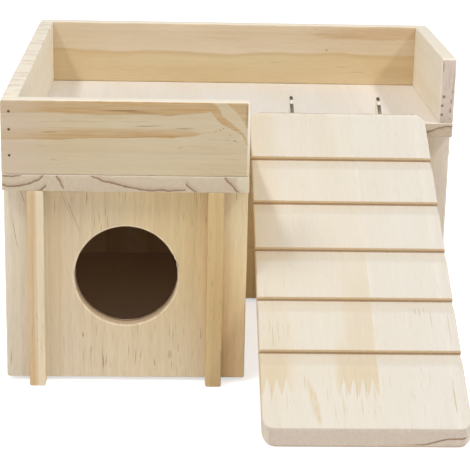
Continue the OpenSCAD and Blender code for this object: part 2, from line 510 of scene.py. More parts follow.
# %% Streak group
THROUGH_THE_BOARD = 1000.0
FRAY_CELL, FRAY = (0.7, 0.7, 6), 0.9
LENS_EDGE = (0.35, 1.0)

streak, given, result = new_group(
    "resin_streak",
    [("Position", VECTOR, (0, 0, 0)), ("Middle", VECTOR, (0, 0, 0)), ("Half_size", VECTOR, (1, 1, 1)),
     ("Lean", FLOAT, 0.0), ("Strength", FLOAT, 1.0)], [("Mark", FLOAT)])

lens_across, _, lens_along = vector_calc("SUBTRACT", given["Position"], given["Middle"]).parts()
upright = vector(lens_across - lens_along * given["Lean"], 0.0, lens_along)
lens = vector_calc("LENGTH", vector_calc("DIVIDE", upright, given["Half_size"]))
near_lens = (lens + swing(given["Position"], FRAY_CELL, FRAY)).fade(*LENS_EDGE)
feed(result["Mark"], near_lens * given["Strength"])
print("group", streak.name, "has", len(streak.nodes), "nodes")

# %% [markdown]
# An arris is the edge where two faces of a board meet. On a box, a point is near an arris when two of its
# three distances to the faces are small, so the middle one of the three distances tells how near it is.
# There the colour gets a little painted highlight, and noise breaks that line up.

# %% Arris highlight group
ARRIS_WIDTH = 2.2
HIGHLIGHT_BREAK_CELL, HIGHLIGHT_BREAK_EDGE = (9, 9, 9), (0.35, 0.6)

arris_highlight_group, given, result = new_group(
    "painted_arris_highlight", [("Position", VECTOR, (0, 0, 0)), ("Half_size", VECTOR, (1, 1, 1))], [("Arris", FLOAT)])

inside = vector_calc("SUBTRACT", given["Half_size"], vector_calc("ABSOLUTE", given["Position"]))
in_across, in_through, in_along = inside.parts()
middle_one = calc("MINIMUM", in_across, in_through) | calc("MINIMUM", in_across | in_through, in_along)
highlight_part = grain_noise(given["Position"], HIGHLIGHT_BREAK_CELL).ease(*HIGHLIGHT_BREAK_EDGE)
feed(result["Arris"], middle_one.fade(0.0, ARRIS_WIDTH) * highlight_part)
print("group", arris_highlight_group.name, "has", len(arris_highlight_group.nodes), "nodes")

# %% [markdown]
# Every board measures its wood from its own middle, in millimetres, and in the order across, through and
# along the grain, however it lies in the house. A Mapping node moves, turns and scales the Object
# coordinates for that, and the direction that a face looks in tells sawn ends and tops.

# %% Directions in a board
# How far a face has to look along the grain to be a sawn end, and up to be a top
END_FACE = (0.7, 0.9)
TOP_FACE = (0.6, 0.9)


def group_node(tree, group, **values):
    """Places a shader group in a material and feeds its inputs; returns its outputs by name."""
    node = tree.nodes.new("ShaderNodeGroup")
    node.node_tree = group
    for label, value in values.items():
        feed(node.inputs[label], value)
    return {socket.name: Mask(tree, socket) for socket in node.outputs}


def grain_space(tree, centre, axes, tilt):
    """Millimetres from a centre, in the order across, through and along: as a vector and as three values,
    with masks of the sawn ends and of the faces that look up."""
    place = tree.nodes.new("ShaderNodeTexCoord")
    mapping = tree.nodes.new("ShaderNodeMapping")
    mapping.inputs["Scale"].default_value = (1 / MM,) * 3
    mapping.inputs["Rotation"].default_value = (-tilt, 0, 0)
    mapping.inputs["Location"].default_value = -(Matrix.Rotation(-tilt, 3, "X") @ Vector(centre)) / MM
    feed(mapping.inputs["Vector"], Mask(tree, place.outputs["Object"]))
    ways = dict(zip("xyz", Mask(tree, mapping.outputs["Vector"]).parts()))
    face = dict(zip("xyz", Mask(tree, place.outputs["Normal"]).parts()))
    across, through, along = (ways[axis] for axis in axes)
    return SimpleNamespace(
        across=across, through=through, along=along, position=vector(across, through, along),
        end=abs(face[axes[2]]).ease(*END_FACE), top=face["z"].ease(*TOP_FACE))


print("a face is all sawn end from", END_FACE[1], "along the grain")

# %% [markdown]
# Each board gets a material of its own, because each comes from another part of the trunk. The groups give
# its figure, a painted highlight along its edges and its finish. What grew in one board alone, such as a
# knot, and the light and shade painted on that board alone, are added by a function of its own to the masks
# and colours that go into the finish.

# %% Material for one board
BUMP_DEPTH = 0.25 * MM
BUMP_STRENGTH = 0.35
WOOD_SHINE = 0.3


def streaks(position, rows):
    """The strongest of several resin streaks; a row is across, along, half width, half length, lean and
    strength."""
    total = None
    for across, along, wide, long, lean, amount in rows:
        mark = group_node(position.tree, streak, Position=position, Middle=(across, 0, along),
                          Half_size=(wide, THROUGH_THE_BOARD, long), Lean=lean, Strength=amount)["Mark"]
        total = total | mark if total else mark
    return total


def tint(wood, share, colour, labels=("Pale", "Warm")):
    """Mixes a colour into some colours of a board, as far as a mask says."""
    for label in labels:
        wood.inputs[label] = mix(share, wood.inputs[label], colour)


def board_wood(node, axes, colours, own_figure_and_light=None, tilt=0.0, half=None, painted_top_light=None, **values):
    """The material of a board: its own figure, measured from the middle of its CAD node. A function given
    for the board may add to the masks and colours what grew in this board alone and the light and shade
    painted on it alone; the colour for a top edge, where given, is painted on the faces that look up as
    painted top light."""
    low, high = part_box(node)
    material, tree, sockets = new_finish("pine_" + node)
    wood = grain_space(tree, (low + high) / 2, axes, tilt)
    size = dict(zip("xyz", (high - low) / 2 / MM))
    half = half or [size[axis] for axis in axes]
    grain = group_node(tree, figure, Position=wood.position, **values)
    # The arris group gives the mask of a painted highlight along the edges.
    edge_highlight = group_node(tree, arris_highlight_group, Position=wood.position, Half_size=half)
    wood.inputs = dict(colours, **grain, **edge_highlight, End=wood.end)
    if own_figure_and_light:
        own_figure_and_light(wood)
    # Faces that look up take a paler colour: painted top light.
    if painted_top_light:
        tint(wood, wood.top, painted_top_light, ("Pale", "Warm", "Dark"))
    made = group_node(tree, finish, **wood.inputs)
    feed(sockets["Base Color"], made["Color"])
    feed(sockets["Roughness"], made["Roughness"])
    sockets["Specular IOR Level"].default_value = WOOD_SHINE
    bumped(sockets, made["Height"], BUMP_STRENGTH, BUMP_DEPTH)
    return material


TAN_PINE = {"Pale": tone(226, 207, 176), "Warm": tone(222, 198, 158), "Dark": tone(188, 152, 108),
            "Streak": tone(150, 115, 78), "Sawn": tone(216, 198, 178), "Ring_strength": 0.35,
            "Fleck_strength": 0.5}
CREAM_PINE = {"Pale": tone(237, 228, 214), "Warm": tone(234, 222, 203), "Dark": tone(218, 198, 164),
              "Streak": tone(200, 174, 138), "Sawn": tone(220, 206, 192), "Ring_strength": 0.4,
              "Fleck_strength": 0.2, "Fibre_strength": 0.16}
GOLD_PINE = {"Pale": tone(222, 202, 168), "Warm": tone(216, 190, 150), "Dark": tone(193, 154, 102),
             "Streak": tone(158, 120, 76), "Sawn": tone(216, 196, 170), "Ring_strength": 0.6,
             "Fleck_strength": 0.4}
print("wood tones: tan, cream and gold")

# %% [markdown]
# A sawn and sanded board is a flat plate whose edges are rounded over. It could be a cube with a Bevel
# modifier, but then every edge is equally perfect. Here the outline of the face is a path, and a
# small profile is carried round it: a quarter circle down from one face, the plain edge, and a
# quarter circle to the other face. The radius of the quarter circles wanders along the path, as it does
# under a sanding block. A hole is one more path, walked the other way round.

# %% Outline paths
ARRIS_STEPS = 4
CORNER_STEPS = 4
OUTLINE_STEP = 6.0 * MM
# Waves of the sanded radius: how many, how often they swing round a path, and their sum's usual height
WAVE_COUNT = 5
WAVE_SWINGS = (2, 40)
WAVE_HEIGHT = 2.2
WAVE_SPREAD = 0.3
RADIUS_RANGE = (0.4, 1.4)


def sanded(count, radius, seed):
    """Edge radius along a closed path: radius times 1 plus a sum of five slow waves of random phase."""
    random = np.random.default_rng(seed)
    share = np.arange(count) / count
    waves = random.integers(*WAVE_SWINGS, WAVE_COUNT)
    phases = random.uniform(0, 2 * np.pi, WAVE_COUNT)
    wave_sum = np.sin(2 * np.pi * waves * share[:, None] + phases).sum(1) / WAVE_HEIGHT
    return radius * np.clip(1 + WAVE_SPREAD * wave_sum, *RADIUS_RANGE)


def outline(corners, corner_radius):
    """A right-angled outline, walked with the wood on its left: even steps along each side, and a quarter
    circle at each outward corner. Returns the points and the directions that point out of the wood."""
    corners = np.array(corners, float)
    ahead_of = np.roll(corners, -1, 0) - corners
    length = np.linalg.norm(ahead_of, axis=1)
    leaving = ahead_of / length[:, None]
    arriving = np.roll(leaving, 1, 0)
    outward_corner = arriving[:, 0] * leaving[:, 1] - arriving[:, 1] * leaving[:, 0] > 0
    cut = np.where(outward_corner, corner_radius, 0.0)
    turn = np.linspace(0, np.pi / 2, CORNER_STEPS + 1)[:, None]
    points, normals = [], []
    for i, corner in enumerate(corners):
        out = arriving[i] * np.sin(turn) - leaving[i] * np.cos(turn)
        if outward_corner[i]:
            points.append(corner - arriving[i] * cut[i] + leaving[i] * cut[i] + cut[i] * out)
            normals.append(out)
        else:
            points.append(corner[None])
            normals.append((leaving[i] - arriving[i])[None])
        steps = max(2, int(length[i] / OUTLINE_STEP))
        side = np.linspace(cut[i], length[i] - cut[(i + 1) % len(corners)], steps + 1)[1:-1, None]
        points.append(corner + leaving[i] * side)
        normals.append(np.repeat([[leaving[i][1], -leaving[i][0]]], steps - 1, 0))
    return np.concatenate(points), np.concatenate(normals)


def oblong(low, high):
    """The corners of an oblong between two corner points, walked with its inside on the left."""
    return [(low[0], low[1]), (high[0], low[1]), (high[0], high[1]), (low[0], high[1])]


def round_hole(centre, radius, count):
    """A circle walked with the wood on its left, so clockwise; its directions point to the middle."""
    angle = -2 * np.pi * np.arange(count) / count
    spoke = np.stack([np.cos(angle), np.sin(angle)], 1)
    return np.array(centre) + spoke * radius, -spoke


print("a plate 100 mm square has", len(outline(oblong((0, 0), (0.1, 0.1)), MM)[0]), "points round it")

# %% [markdown]
# The flat faces are filled with triangles between the paths. Blender's own triangulation takes points and
# edges in the plane; the triangles that lie across a hole or a corner are taken out again.

# %% The eased plate
# How the triangles of a face are chosen, and the distance at which its points would join
INSIDE_THE_OUTLINE = 1
WELD = 1e-9


def ring_quads(index):
    """Four-sided faces of a tube; each row of point numbers is a ring, and the rings follow one another."""
    onward = np.roll(index, -1, 1)
    return np.stack([index[:-1], index[1:], onward[1:], onward[:-1]], -1).reshape(-1, 4)


def face_triangles(loops, edges):
    """Triangles between the first rings of the loops, as numbers of the points of all loops in a row."""
    counts = [len(edge) for edge in edges]
    numbers = np.split(np.arange(sum(counts)), np.cumsum(counts)[:-1])
    borders = np.concatenate([np.stack([around, np.roll(around, -1)], 1) for around in numbers]).tolist()
    flat_points = [Vector(point) for point in np.concatenate(edges).tolist()]
    filled = delaunay_2d_cdt(flat_points, borders, [], INSIDE_THE_OUTLINE, WELD)
    source = np.array([origin[0] for origin in filled[3]])
    triangles = source[np.array(filled[2])]
    owners = np.repeat(np.arange(len(loops)), counts)[triangles]
    corners = np.concatenate(edges)[triangles]
    outward = np.concatenate([normals for points, normals, radii in loops])[triangles]
    out_of_wood = ((corners.mean(1, keepdims=True) - corners) * outward).sum((1, 2)) > 0
    return triangles[~((owners == owners[:, :1]).all(1) & out_of_wood)]


def eased_plate(loops, low, high):
    """A plate between two heights. Each loop is points, outward directions and edge radii. A ring of the
    profile at angle a lies inside the loop by radius times (1 - sin a) and below the face by radius
    times (1 - cos a). Returns points, faces and how many of the faces belong to the rounded sides."""
    turn = np.linspace(0, np.pi / 2, ARRIS_STEPS + 1)
    blocks, sides, top, bottom, edges = [], [], [], [], []
    base = 0
    for points, normals, radii in loops:
        inner = points[None] - normals[None] * (radii[None, :] * (1 - np.sin(turn))[:, None])[..., None]
        depth = radii[None, :] * (1 - np.cos(turn))[:, None]
        upper = np.concatenate([inner, (high - depth)[..., None]], 2)
        lower = np.concatenate([inner, (low + depth)[..., None]], 2)[::-1]
        rings = np.concatenate([upper, lower])
        index = base + np.arange(rings[..., 0].size).reshape(rings.shape[:2])
        base += index.size
        sides.append(ring_quads(index))
        edges.append(inner[0])
        top.append(index[0])
        bottom.append(index[-1])
        blocks.append(rings.reshape(-1, 3))
    triangles = face_triangles(loops, edges)
    sides = np.concatenate(sides)
    top_faces = np.concatenate(top)[triangles]
    bottom_faces = np.concatenate(bottom)[triangles[:, ::-1]]
    return np.concatenate(blocks), sides.tolist() + top_faces.tolist() + bottom_faces.tolist(), len(sides)


print("an eased edge has", 2 * ARRIS_STEPS + 1, "strips")

# %% [markdown]
# A mesh becomes a piece of the hide in the same few steps every time: the points go to their place, the
# rounded sides are shaded smooth, the piece gets its material, rides on its CAD body and hides the node that
# it stands for.

# %% From points to a piece
BODY_OF = {node: body for body, nodes in frame["record"]["behaviour"]["bodies"].items() for node in nodes}
# The two directions of a board's face and the direction of its thickness, as axis numbers
FACE_AXES = {"x": [1, 2, 0], "y": [2, 0, 1]}


def piece(node, points, faces, smooth_count, material):
    """Makes the piece that stands for a CAD node; the first smooth_count faces are shaded smooth."""
    mesh = bpy.data.meshes.new("fine_" + node)
    mesh.from_pydata(points.tolist(), [], faces)
    mesh.polygons.foreach_set("use_smooth", np.arange(len(faces)) < smooth_count)
    mesh.materials.append(material)
    made = bpy.data.objects.new("fine_" + node, mesh)
    bpy.context.scene.collection.objects.link(made)
    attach(made, BODY_OF[node])
    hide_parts(node)


def board(node, thin, material, seed, edge, corner, holes=()):
    """A board with eased edges in the box of its CAD node; thin names the axis of its thickness. Holes are
    more loops in the plane of its face."""
    low, high = (np.array(point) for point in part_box(node))
    order = FACE_AXES[thin]
    points, normals = outline(oblong(low[order], high[order]), corner)
    loops = [(points, normals, sanded(len(points), edge, seed)), *holes]
    flat, faces, smooth = eased_plate(loops, low[order[2]], high[order[2]])
    placed = np.empty_like(flat)
    placed[:, order] = flat
    piece(node, placed, faces, smooth, material)


# %% [markdown]
# The walls stand with their grain upright. The wall behind the ramp shows only as two strips, a brown one in
# the gap beside the box and a pale one at the right. Its tone runs from a warm orange at the left end,
# painted bounce light from the wood round the shaded gap, to its own pale, pinkish tone at the right end.

# %% Walls and posts
WALL_EDGE = 0.8 * MM
WALL_CORNER = 1.2 * MM
WALL_SEED = 10
# Across, through and along the grain of an upright board whose thickness is x or y
UPRIGHT = {"x": "yxz", "y": "xyz"}
RECESS_HALF = 75
# The warm orange at the left end of these tints is painted bounce light in the shaded gap beside the box.
RECESS_TINTS_WITH_BOUNCE = ((-75, tone(255, 226, 174)), (-55, tone(250, 218, 168)), (60, tone(246, 232, 208)),
                (72, tone(246, 232, 216)))
HALVES_CELL, HALVES_EDGE = (4, 4, 60), (0.7, 1.5)
POST_CREAM = {"Pale": tone(232, 216, 188), "Warm": tone(230, 212, 180)}
INNER_PINE = dict(TAN_PINE, Pale=tone(250, 230, 190), Warm=tone(246, 220, 174))
POST_PINE = dict(GOLD_PINE, Pale=tone(212, 186, 139), Warm=tone(207, 177, 124))


def recess_tint_painted_bounce(wood):
    """Warm orange at the left end of the wall as painted bounce light in the shaded gap, pale and pinkish at
    its right end.
    """
    wood.inputs["Pale"], _ = table(wood.across, RECESS_TINTS_WITH_BOUNCE, -RECESS_HALF, RECESS_HALF, "EASE")
    wood.inputs["Warm"] = wood.inputs["Pale"]


def post_halves(wood):
    """A post cut where two tones meet: gold on its left half, cream on its right half."""
    halves = (wood.across + grain_noise(wood.position, HALVES_CELL)).ease(*HALVES_EDGE)
    for label, cream in POST_CREAM.items():
        tint(wood, halves, cream, (label,))


# Axis of the thickness, colours, what grew in it or is painted on it as light and shade, pith across,
# through and along, and width of a ring
WALLS = {
    "left_wall": ("x", TAN_PINE, None, (-60, 70, 0), 14.0),
    "right_wall": ("x", TAN_PINE, None, (90, -60, 0), 13.0),
    "inner_wall": ("x", INNER_PINE, None, (40, 50, 0), 15.0),
    "back_wall": ("y", TAN_PINE, None, (-40, -80, 0), 16.0),
    "recess_wall": ("y", TAN_PINE, recess_tint_painted_bounce, (120, 60, 0), 15.0),
    "front_left_post": ("y", GOLD_PINE, post_halves, (-60, 0, 0), 12.0),
    "front_right_post": ("y", POST_PINE, None, (40, 30, 0), 9.0),
}
for number, (node, (thin, colours, own_figure_and_light, pith, ring_width)) in enumerate(WALLS.items()):
    upright_wood = board_wood(node, UPRIGHT[thin], colours, own_figure_and_light, Pith=pith, Ring_width=ring_width,
                              Seed=number + 1.0)
    board(node, thin, upright_wood, WALL_SEED + number, WALL_EDGE, WALL_CORNER)
print("upright boards:", ", ".join(WALLS))

# %% [markdown]
# The front rail has the boldest figure of the whole hide: two brown bands that taper to the right, and an
# arch where a branch was grown over. No plain trunk would give them, so their edges are drawn as curves
# along the rail: a table holds the height of each edge at some places, and a Color Ramp reads it.

# %% Edges of the bands
RAIL_REACH = 25.0
RAIL_HALF = 75.0
# Places along the rail, each with the lower and upper edge of the upper band and of the lower band
RAIL_BANDS = (
    (-75.0, 14.9, 25.0, -1.6, 6.6), (-40.0, 15.0, 25.0, -0.9, 6.8), (-12.0, 14.5, 25.0, 0.3, 7.2),
    (10.0, 15.1, 25.0, 0.9, 7.2), (28.0, 14.9, 24.5, 0.7, 6.8), (40.0, 15.6, 20.8, 1.8, 5.7),
    (46.0, 16.3, 18.8, 3.4, 4.2), (52.0, 17.2, 17.0, 4.0, 3.0), (56.0, 18.0, 16.0, 4.0, 3.0))
# Places along the rail, each with the lower edges of the arch, of the pale strip above it and of the corner
RAIL_ARCH = (
    (-75.0, 25.0, 25.0, 25.0), (51.0, 17.2, 24.0, 25.0), (55.3, 11.7, 21.2, 25.0), (58.3, 9.3, 15.7, 24.5),
    (65.6, 5.6, 9.3, 18.0), (70.0, 3.0, 5.6, 12.5), (72.0, -1.0, 2.5, 9.0), (75.0, -7.0, -4.0, 4.0))
# Millimetres over which a band begins at its lower edge and ends at its upper edge
BAND_LOW_EDGE, BAND_HIGH_EDGE = (-0.3, 0.4), (-1.8, 0.4)


def edge_heights(along, rows):
    """Heights of edges at a place along the rail, read from rows of a place and three or four heights."""
    shares = [(place, [(height / RAIL_REACH + 1) / 2 for height in heights]) for place, *heights in rows]
    filled = [(place, (heights + [1.0])[:4]) for place, heights in shares]
    colour, fourth = table(along, filled, -RAIL_HALF, RAIL_HALF, "LINEAR")
    return [share * (2 * RAIL_REACH) - RAIL_REACH for share in (*colour.parts(), fourth)]


def late_band(height, low, high):
    """A band of late wood: a sharp lower edge, and a softer upper edge."""
    return (height - low).ease(*BAND_LOW_EDGE) * (height - high).fade(*BAND_HIGH_EDGE)


print("edges are drawn at", len(RAIL_BANDS), "and", len(RAIL_ARCH), "places along the front rail")

# %% [markdown]
# With those edges the figure of the front rail can be put together: bands, arch, resin streaks, a dark line
# at the right end, a rosy left end and a painted highlight along the arris of the right end. From here on, a
# step is four numbers: where it starts and ends in millimetres, and the share before and after it. Where
# only two or three are given, the share runs between one and nought.

# %% Figure of the front rail
# Across, along, half width, half length, lean and strength of each streak
FRONT_RAIL_STREAKS = (
    (17.2, 0.0, 0.6, 16.0, 0.0, 0.95), (16.1, 9.0, 0.4, 12.0, 0.0, 0.6), (14.6, 24.0, 0.3, 8.0, 0.03, 0.5),
    (8.0, 13.0, 0.35, 11.0, 0.02, 0.75), (6.7, 35.0, 0.35, 7.0, -0.03, 0.7),
    (3.6, -46.0, 0.5, 7.0, 0.02, 0.55), (1.0, 8.0, 0.35, 14.0, 0.03, 0.45),
    (-5.0, -51.0, 0.35, 5.0, -0.12, 0.4), (-13.5, -43.0, 0.35, 5.0, -0.15, 0.4),
    (-5.0, 33.0, 0.5, 2.0, 0.4, 0.4), (5.4, 54.0, 0.5, 1.0, 0.5, 0.6), (6.0, 56.5, 0.5, 1.0, -0.5, 0.6),
    (7.2, 58.5, 0.5, 1.2, 0.4, 0.6), (3.0, 62.5, 0.4, 1.0, 0.5, 0.5), (0.0, 61.0, 0.5, 1.0, 0.5, 0.6),
    (-0.5, 65.5, 0.6, 1.5, -0.4, 0.7), (-1.4, 67.5, 0.4, 1.0, 0.3, 0.5))
WAVER_CELL, WAVER, WAVER_DETAIL = (30, 30, 24), 2.4, 3.0
UPPER_STEP, LOWER_STEP = (0.5, 8.0, 1.0, 0.6), (0.5, 7.0, 1.0, 0.5)
CORNER_STEP, ARCH_SHARE = (-0.4, 0.8, 0.0, 0.75), 0.9
SILK_CELL, SILK_DETAIL, SILK_STEP = (0.9, 0.9, 35), 3.0, (0.3, 0.7, 0.55, 1.0)
LEFT_STEP = (-75, -30, 0.5, 1.0)
PLAIN_RINGS = 0.15
# The dark line at the right end: its left and right edge along the rail, its lower and upper end
LINE_LEFT, LINE_RIGHT = (71.8, 72.6), (72.9, 73.4)
LINE_LOW, LINE_HIGH = (4.0, 14.0, 0.0, 0.6), (20.5, 22.0)
FIBRE_STEP = (-60, -20, 0.18, 0.3)
ROSY_PINE, ROSY_STEP = tone(207, 188, 167), (-72, -30, 0.7)
# Where the arris of the right end is lightened to cream: a painted highlight.
END_HIGHLIGHT_ALONG, END_HIGHLIGHT_ACROSS = (73.0, 73.8), (-20.0, 10.0, 0.4, 1.0)
# The cream painted on the rail tops as painted top light, and on the right end's arris as a painted
# highlight.
PAINTED_LIGHT_CREAM = tone(248, 238, 220)


def rail_bands(wood):
    """Two bands of late wood that taper to the right, and an arch round a lost branch at the right end."""
    inputs = wood.inputs
    height = wood.across + swing(wood.position, WAVER_CELL, WAVER, WAVER_DETAIL)
    upper_low, upper_top, lower_low, lower_top = edge_heights(wood.along, RAIL_BANDS)
    arch_low, strip_low, corner_low, _ = edge_heights(wood.along, RAIL_ARCH)
    upper = late_band(height, upper_low, upper_top) * (height - upper_low).ease(*UPPER_STEP)
    lower = late_band(height, lower_low, lower_top) * (height - lower_low).ease(*LOWER_STEP)
    arch = late_band(height, arch_low, strip_low) * ARCH_SHARE | (height - corner_low).ease(*CORNER_STEP)
    silky = grain_noise(wood.position, SILK_CELL, SILK_DETAIL).ease(*SILK_STEP)
    bands = (upper | lower | arch) * silky * wood.along.ease(*LEFT_STEP)
    inputs["Ring"] = bands | inputs["Ring"] * PLAIN_RINGS
    line_place = wood.along.ease(*LINE_LEFT) * wood.along.fade(*LINE_RIGHT)
    line = line_place * wood.across.ease(*LINE_LOW) * wood.across.fade(*LINE_HIGH)
    inputs["Mark"] = streaks(wood.position, FRONT_RAIL_STREAKS) | line
    inputs["Fibre_strength"] = wood.along.ease(*FIBRE_STEP)
    tint(wood, wood.along.fade(*ROSY_STEP), ROSY_PINE)
    # A painted highlight along the arris of the right end.
    painted_end_highlight = wood.along.ease(*END_HIGHLIGHT_ALONG) * wood.across.ease(*END_HIGHLIGHT_ACROSS)
    tint(wood, painted_end_highlight, PAINTED_LIGHT_CREAM, ("Pale", "Warm", "Dark"))


print("front rail:", len(FRONT_RAIL_STREAKS), "streaks")

# %% [markdown]
# The back rail is gold below and pinkish above, with a wavy line between where two parts of the trunk met.
# Noise with long cells moves that line up and down.

# %% Figure of the back rail
WAVE_CELL, WAVE = (30, 30, 55), 9.0
BACK_HALVES = (-0.6, 2.0)
# Tones of the back rail below and above the wavy line
BACK_TONES = {"Pale": (tone(217, 195, 155), tone(221, 203, 175)),
              "Warm": (tone(213, 189, 145), tone(217, 196, 165))}
BACK_LINE_LOW, BACK_LINE_HIGH, BACK_LINE_SHARE = (-3.5, 0.2), (0.4, 1.6), 0.5
BACK_RINGS = 0.25
# Across, along, half width, half length, lean and strength of each darker lens and each mark
BACK_RAIL_PATCH = (
    (17.0, 120.0, 7.0, 84.0, 0.0, 0.75), (14.6, 90.0, 3.0, 34.0, 0.01, 0.95),
    (16.2, 70.0, 1.6, 18.0, 0.0, 0.9), (13.6, 116.0, 2.2, 30.0, 0.02, 0.85),
    (-14.0, 128.0, 7.0, 34.0, 0.0, 0.4), (12.0, -10.0, 2.0, 44.0, -0.05, 0.3),
    (6.0, 20.0, 1.2, 30.0, 0.03, 0.3))
BACK_RAIL_MARKS = (
    (4.0, 71.5, 0.9, 0.9, 0.0, 0.9), (-9.0, 84.0, 0.4, 8.0, 0.0, 0.4), (-13.0, 96.0, 0.4, 9.0, 0.0, 0.4),
    (-6.0, 30.0, 0.35, 7.0, 0.0, 0.3))


def back_rail_halves(wood):
    """Gold below and pinkish above a wavy line, with a darker patch at the upper right and a small knot."""
    height = wood.across + swing(wood.position, WAVE_CELL, WAVE)
    for label, (below, over) in BACK_TONES.items():
        wood.inputs[label] = mix(height.ease(*BACK_HALVES), below, over)
    line = height.ease(*BACK_LINE_LOW) * height.fade(*BACK_LINE_HIGH)
    figured = line * BACK_LINE_SHARE | streaks(wood.position, BACK_RAIL_PATCH)
    wood.inputs["Ring"] = figured | wood.inputs["Ring"] * BACK_RINGS
    wood.inputs["Mark"] = streaks(wood.position, BACK_RAIL_MARKS)


print("back rail:", len(BACK_RAIL_PATCH), "darker lenses and", len(BACK_RAIL_MARKS), "marks")

# %% [markdown]
# The left rail is lengthened by a plain joint. The right one shows its sawn end over the ramp, with a
# column of pores and a column of dashes: they are lenses too, but seen from the end of the board, so the
# position is turned before it goes into the streaks.

# %% Figure of the side rails
# Height and sideways place on the rail's end, half height, half width, lean and strength of each mark
END_MARKS = (
    (-3.8, -2.6, 1.6, 1.5, 0.0, 0.95), (-10.3, -3.4, 1.4, 1.3, 0.0, 0.95),
    (-16.8, -3.4, 1.4, 1.3, 0.0, 0.95), (-0.4, 3.2, 3.0, 0.8, 0.0, 0.5), (-7.1, 2.8, 2.3, 1.0, 0.0, 0.75),
    (-13.6, 2.3, 2.6, 1.0, 0.0, 0.75), (-19.4, 2.2, 1.4, 0.7, 0.0, 0.55),
    (17.5, -3.9, 5.5, 0.55, 0.03, 0.85), (6.0, 4.0, 14.0, 0.8, 0.0, 0.3), (8.0, 0.6, 9.0, 0.35, 0.0, 0.3),
    (3.0, -1.4, 6.0, 0.3, 0.0, 0.3))
PORE_BROWN, PORE_SAWN = tone(140, 116, 96), tone(214, 198, 184)
# Fibre strength of a smooth face, and what a sawn end adds to it
FACE_FIBRE, END_FIBRE = 0.16, 0.35
ON_TOP = (20.0, 22.5, 0.25, 1.0)
JOINT_PLACE, JOINT_STEP = -1.0, (0.3, 0.9, 0.6)
ARC_CELL, ARC_DETAIL, ARC_STEP = (40, 14, 5), 3.0, (0.48, 0.75, 0.0, 0.5)


def end_pores(wood):
    """A column of round pores and a column of short dark dashes in the lower half of the sawn end."""
    turned = vector(wood.across, 0.0, wood.through)
    wood.inputs["Mark"] = streaks(turned, END_MARKS) * wood.end
    wood.inputs["Streak"] = PORE_BROWN
    wood.inputs["Sawn"] = PORE_SAWN
    wood.inputs["Fibre_strength"] = wood.end * END_FIBRE + FACE_FIBRE


def butt_joint(wood):
    """The left rail is lengthened by a plain joint, one line across its top between faint cross arcs."""
    joint = abs(wood.along - JOINT_PLACE).fade(*JOINT_STEP)
    arcs = grain_noise(wood.position, ARC_CELL, ARC_DETAIL).ease(*ARC_STEP)
    wood.inputs["Mark"] = (joint | arcs) * wood.across.ease(*ON_TOP)


print("right rail:", len(END_MARKS), "marks on its end")

# %% [markdown]
# All four rails lie with their grain along them and get the same cream on their top edges as painted top
# light. They are handled more than the walls, so their edges and corners are rounded a little more.

# %% Rails
RAIL_EDGE = 1.1 * MM
RAIL_CORNER = 1.8 * MM
RAIL_SEED = 50
FIRST_RAIL_FIGURE = 10.0
# Across, through and along the grain of a lying board whose thickness is x or y
LYING = {"x": "zxy", "y": "zyx"}
RAIL_PINE = dict(TAN_PINE, Pale=tone(208, 191, 160), Warm=tone(205, 186, 150), Dark=tone(185, 140, 78),
                 Fleck_strength=0.2, Ring_strength=0.8)
BACK_RAIL_PINE = dict(GOLD_PINE, Fleck_strength=0.12)
SIDE_RAIL_PINE = dict(CREAM_PINE, Pale=tone(253, 245, 229), Warm=tone(251, 241, 219), Ring_strength=0.12)
# Axis of the thickness, colours, what grew in it or is painted on it as light and shade, pith across,
# through and along, width of a ring and length of a fleck
RAILS = {
    "front_rail": ("y", RAIL_PINE, rail_bands, (70, 8, 0), 10.0, 22.0),
    "back_rail": ("y", BACK_RAIL_PINE, back_rail_halves, (-60, 5, 0), 26.0, 22.0),
    "left_rail": ("x", SIDE_RAIL_PINE, butt_joint, (50, 20, 0), 16.0, 8.0),
    "right_rail": ("x", SIDE_RAIL_PINE, end_pores, (-40, 30, 0), 16.0, 8.0),
}
for number, (node, (thin, colours, own_figure_and_light, pith, ring_width, fleck_length)) in enumerate(RAILS.items()):
    seed = number + FIRST_RAIL_FIGURE
    rail_wood = board_wood(node, LYING[thin], colours, own_figure_and_light, painted_top_light=PAINTED_LIGHT_CREAM, Pith=pith,
                           Ring_width=ring_width, Seed=seed, Fleck_length=fleck_length)
    board(node, thin, rail_wood, RAIL_SEED + number, RAIL_EDGE, RAIL_CORNER)
print("rails:", ", ".join(RAILS))

# %% [markdown]
# The round entrance is cut into the front panel with a hole saw, which tears four small chips out of the
# rim. The hole is one more path round the plate, and a chip is a dip in that path: a bell curve of the
# angle, as wide and as deep as the chip.

# %% Entrance
HOLE_RADIUS = 32.0 * MM
HOLE_HEIGHT = 70.0 * MM
RIM_STEPS = 240
RIM_SEED = 71
# Torn chips at the rim: degrees from the top to the right, width in degrees and depth
RIM_CHIPS = ((66.0, 1.6, 0.5 * MM), (73.0, 2.4, 0.8 * MM), (81.0, 1.8, 0.5 * MM), (97.0, 2.4, 0.6 * MM))

panel_low, panel_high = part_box("front_panel")
panel_middle = (panel_low + panel_high) / 2
ring, ring_out = round_hole((HOLE_HEIGHT, panel_middle.x), HOLE_RADIUS, RIM_STEPS)
from_top = np.degrees(np.arctan2(-ring_out[:, 1], -ring_out[:, 0]))
for degrees, width, depth in RIM_CHIPS:
    ring = ring - ring_out * depth * np.exp(-((from_top - degrees) / width) ** 2)[:, None]
entrance = (ring, ring_out, sanded(RIM_STEPS, WALL_EDGE, RIM_SEED))
print("entrance is", round(2 * HOLE_RADIUS / MM), "mm across, with", len(RIM_CHIPS), "chips")

# %% [markdown]
# The panel is glued from upright staves, so its tone changes from left to right. The hole saw cuts from both
# sides and scorches the wall of the hole, most of all where the two cuts meet; a pale ring round the rim is
# a painted highlight on its eased edge. All of that depends on the distance to the rim, so it is worked out
# once.

# %% Front panel
PANEL_SEED = 70
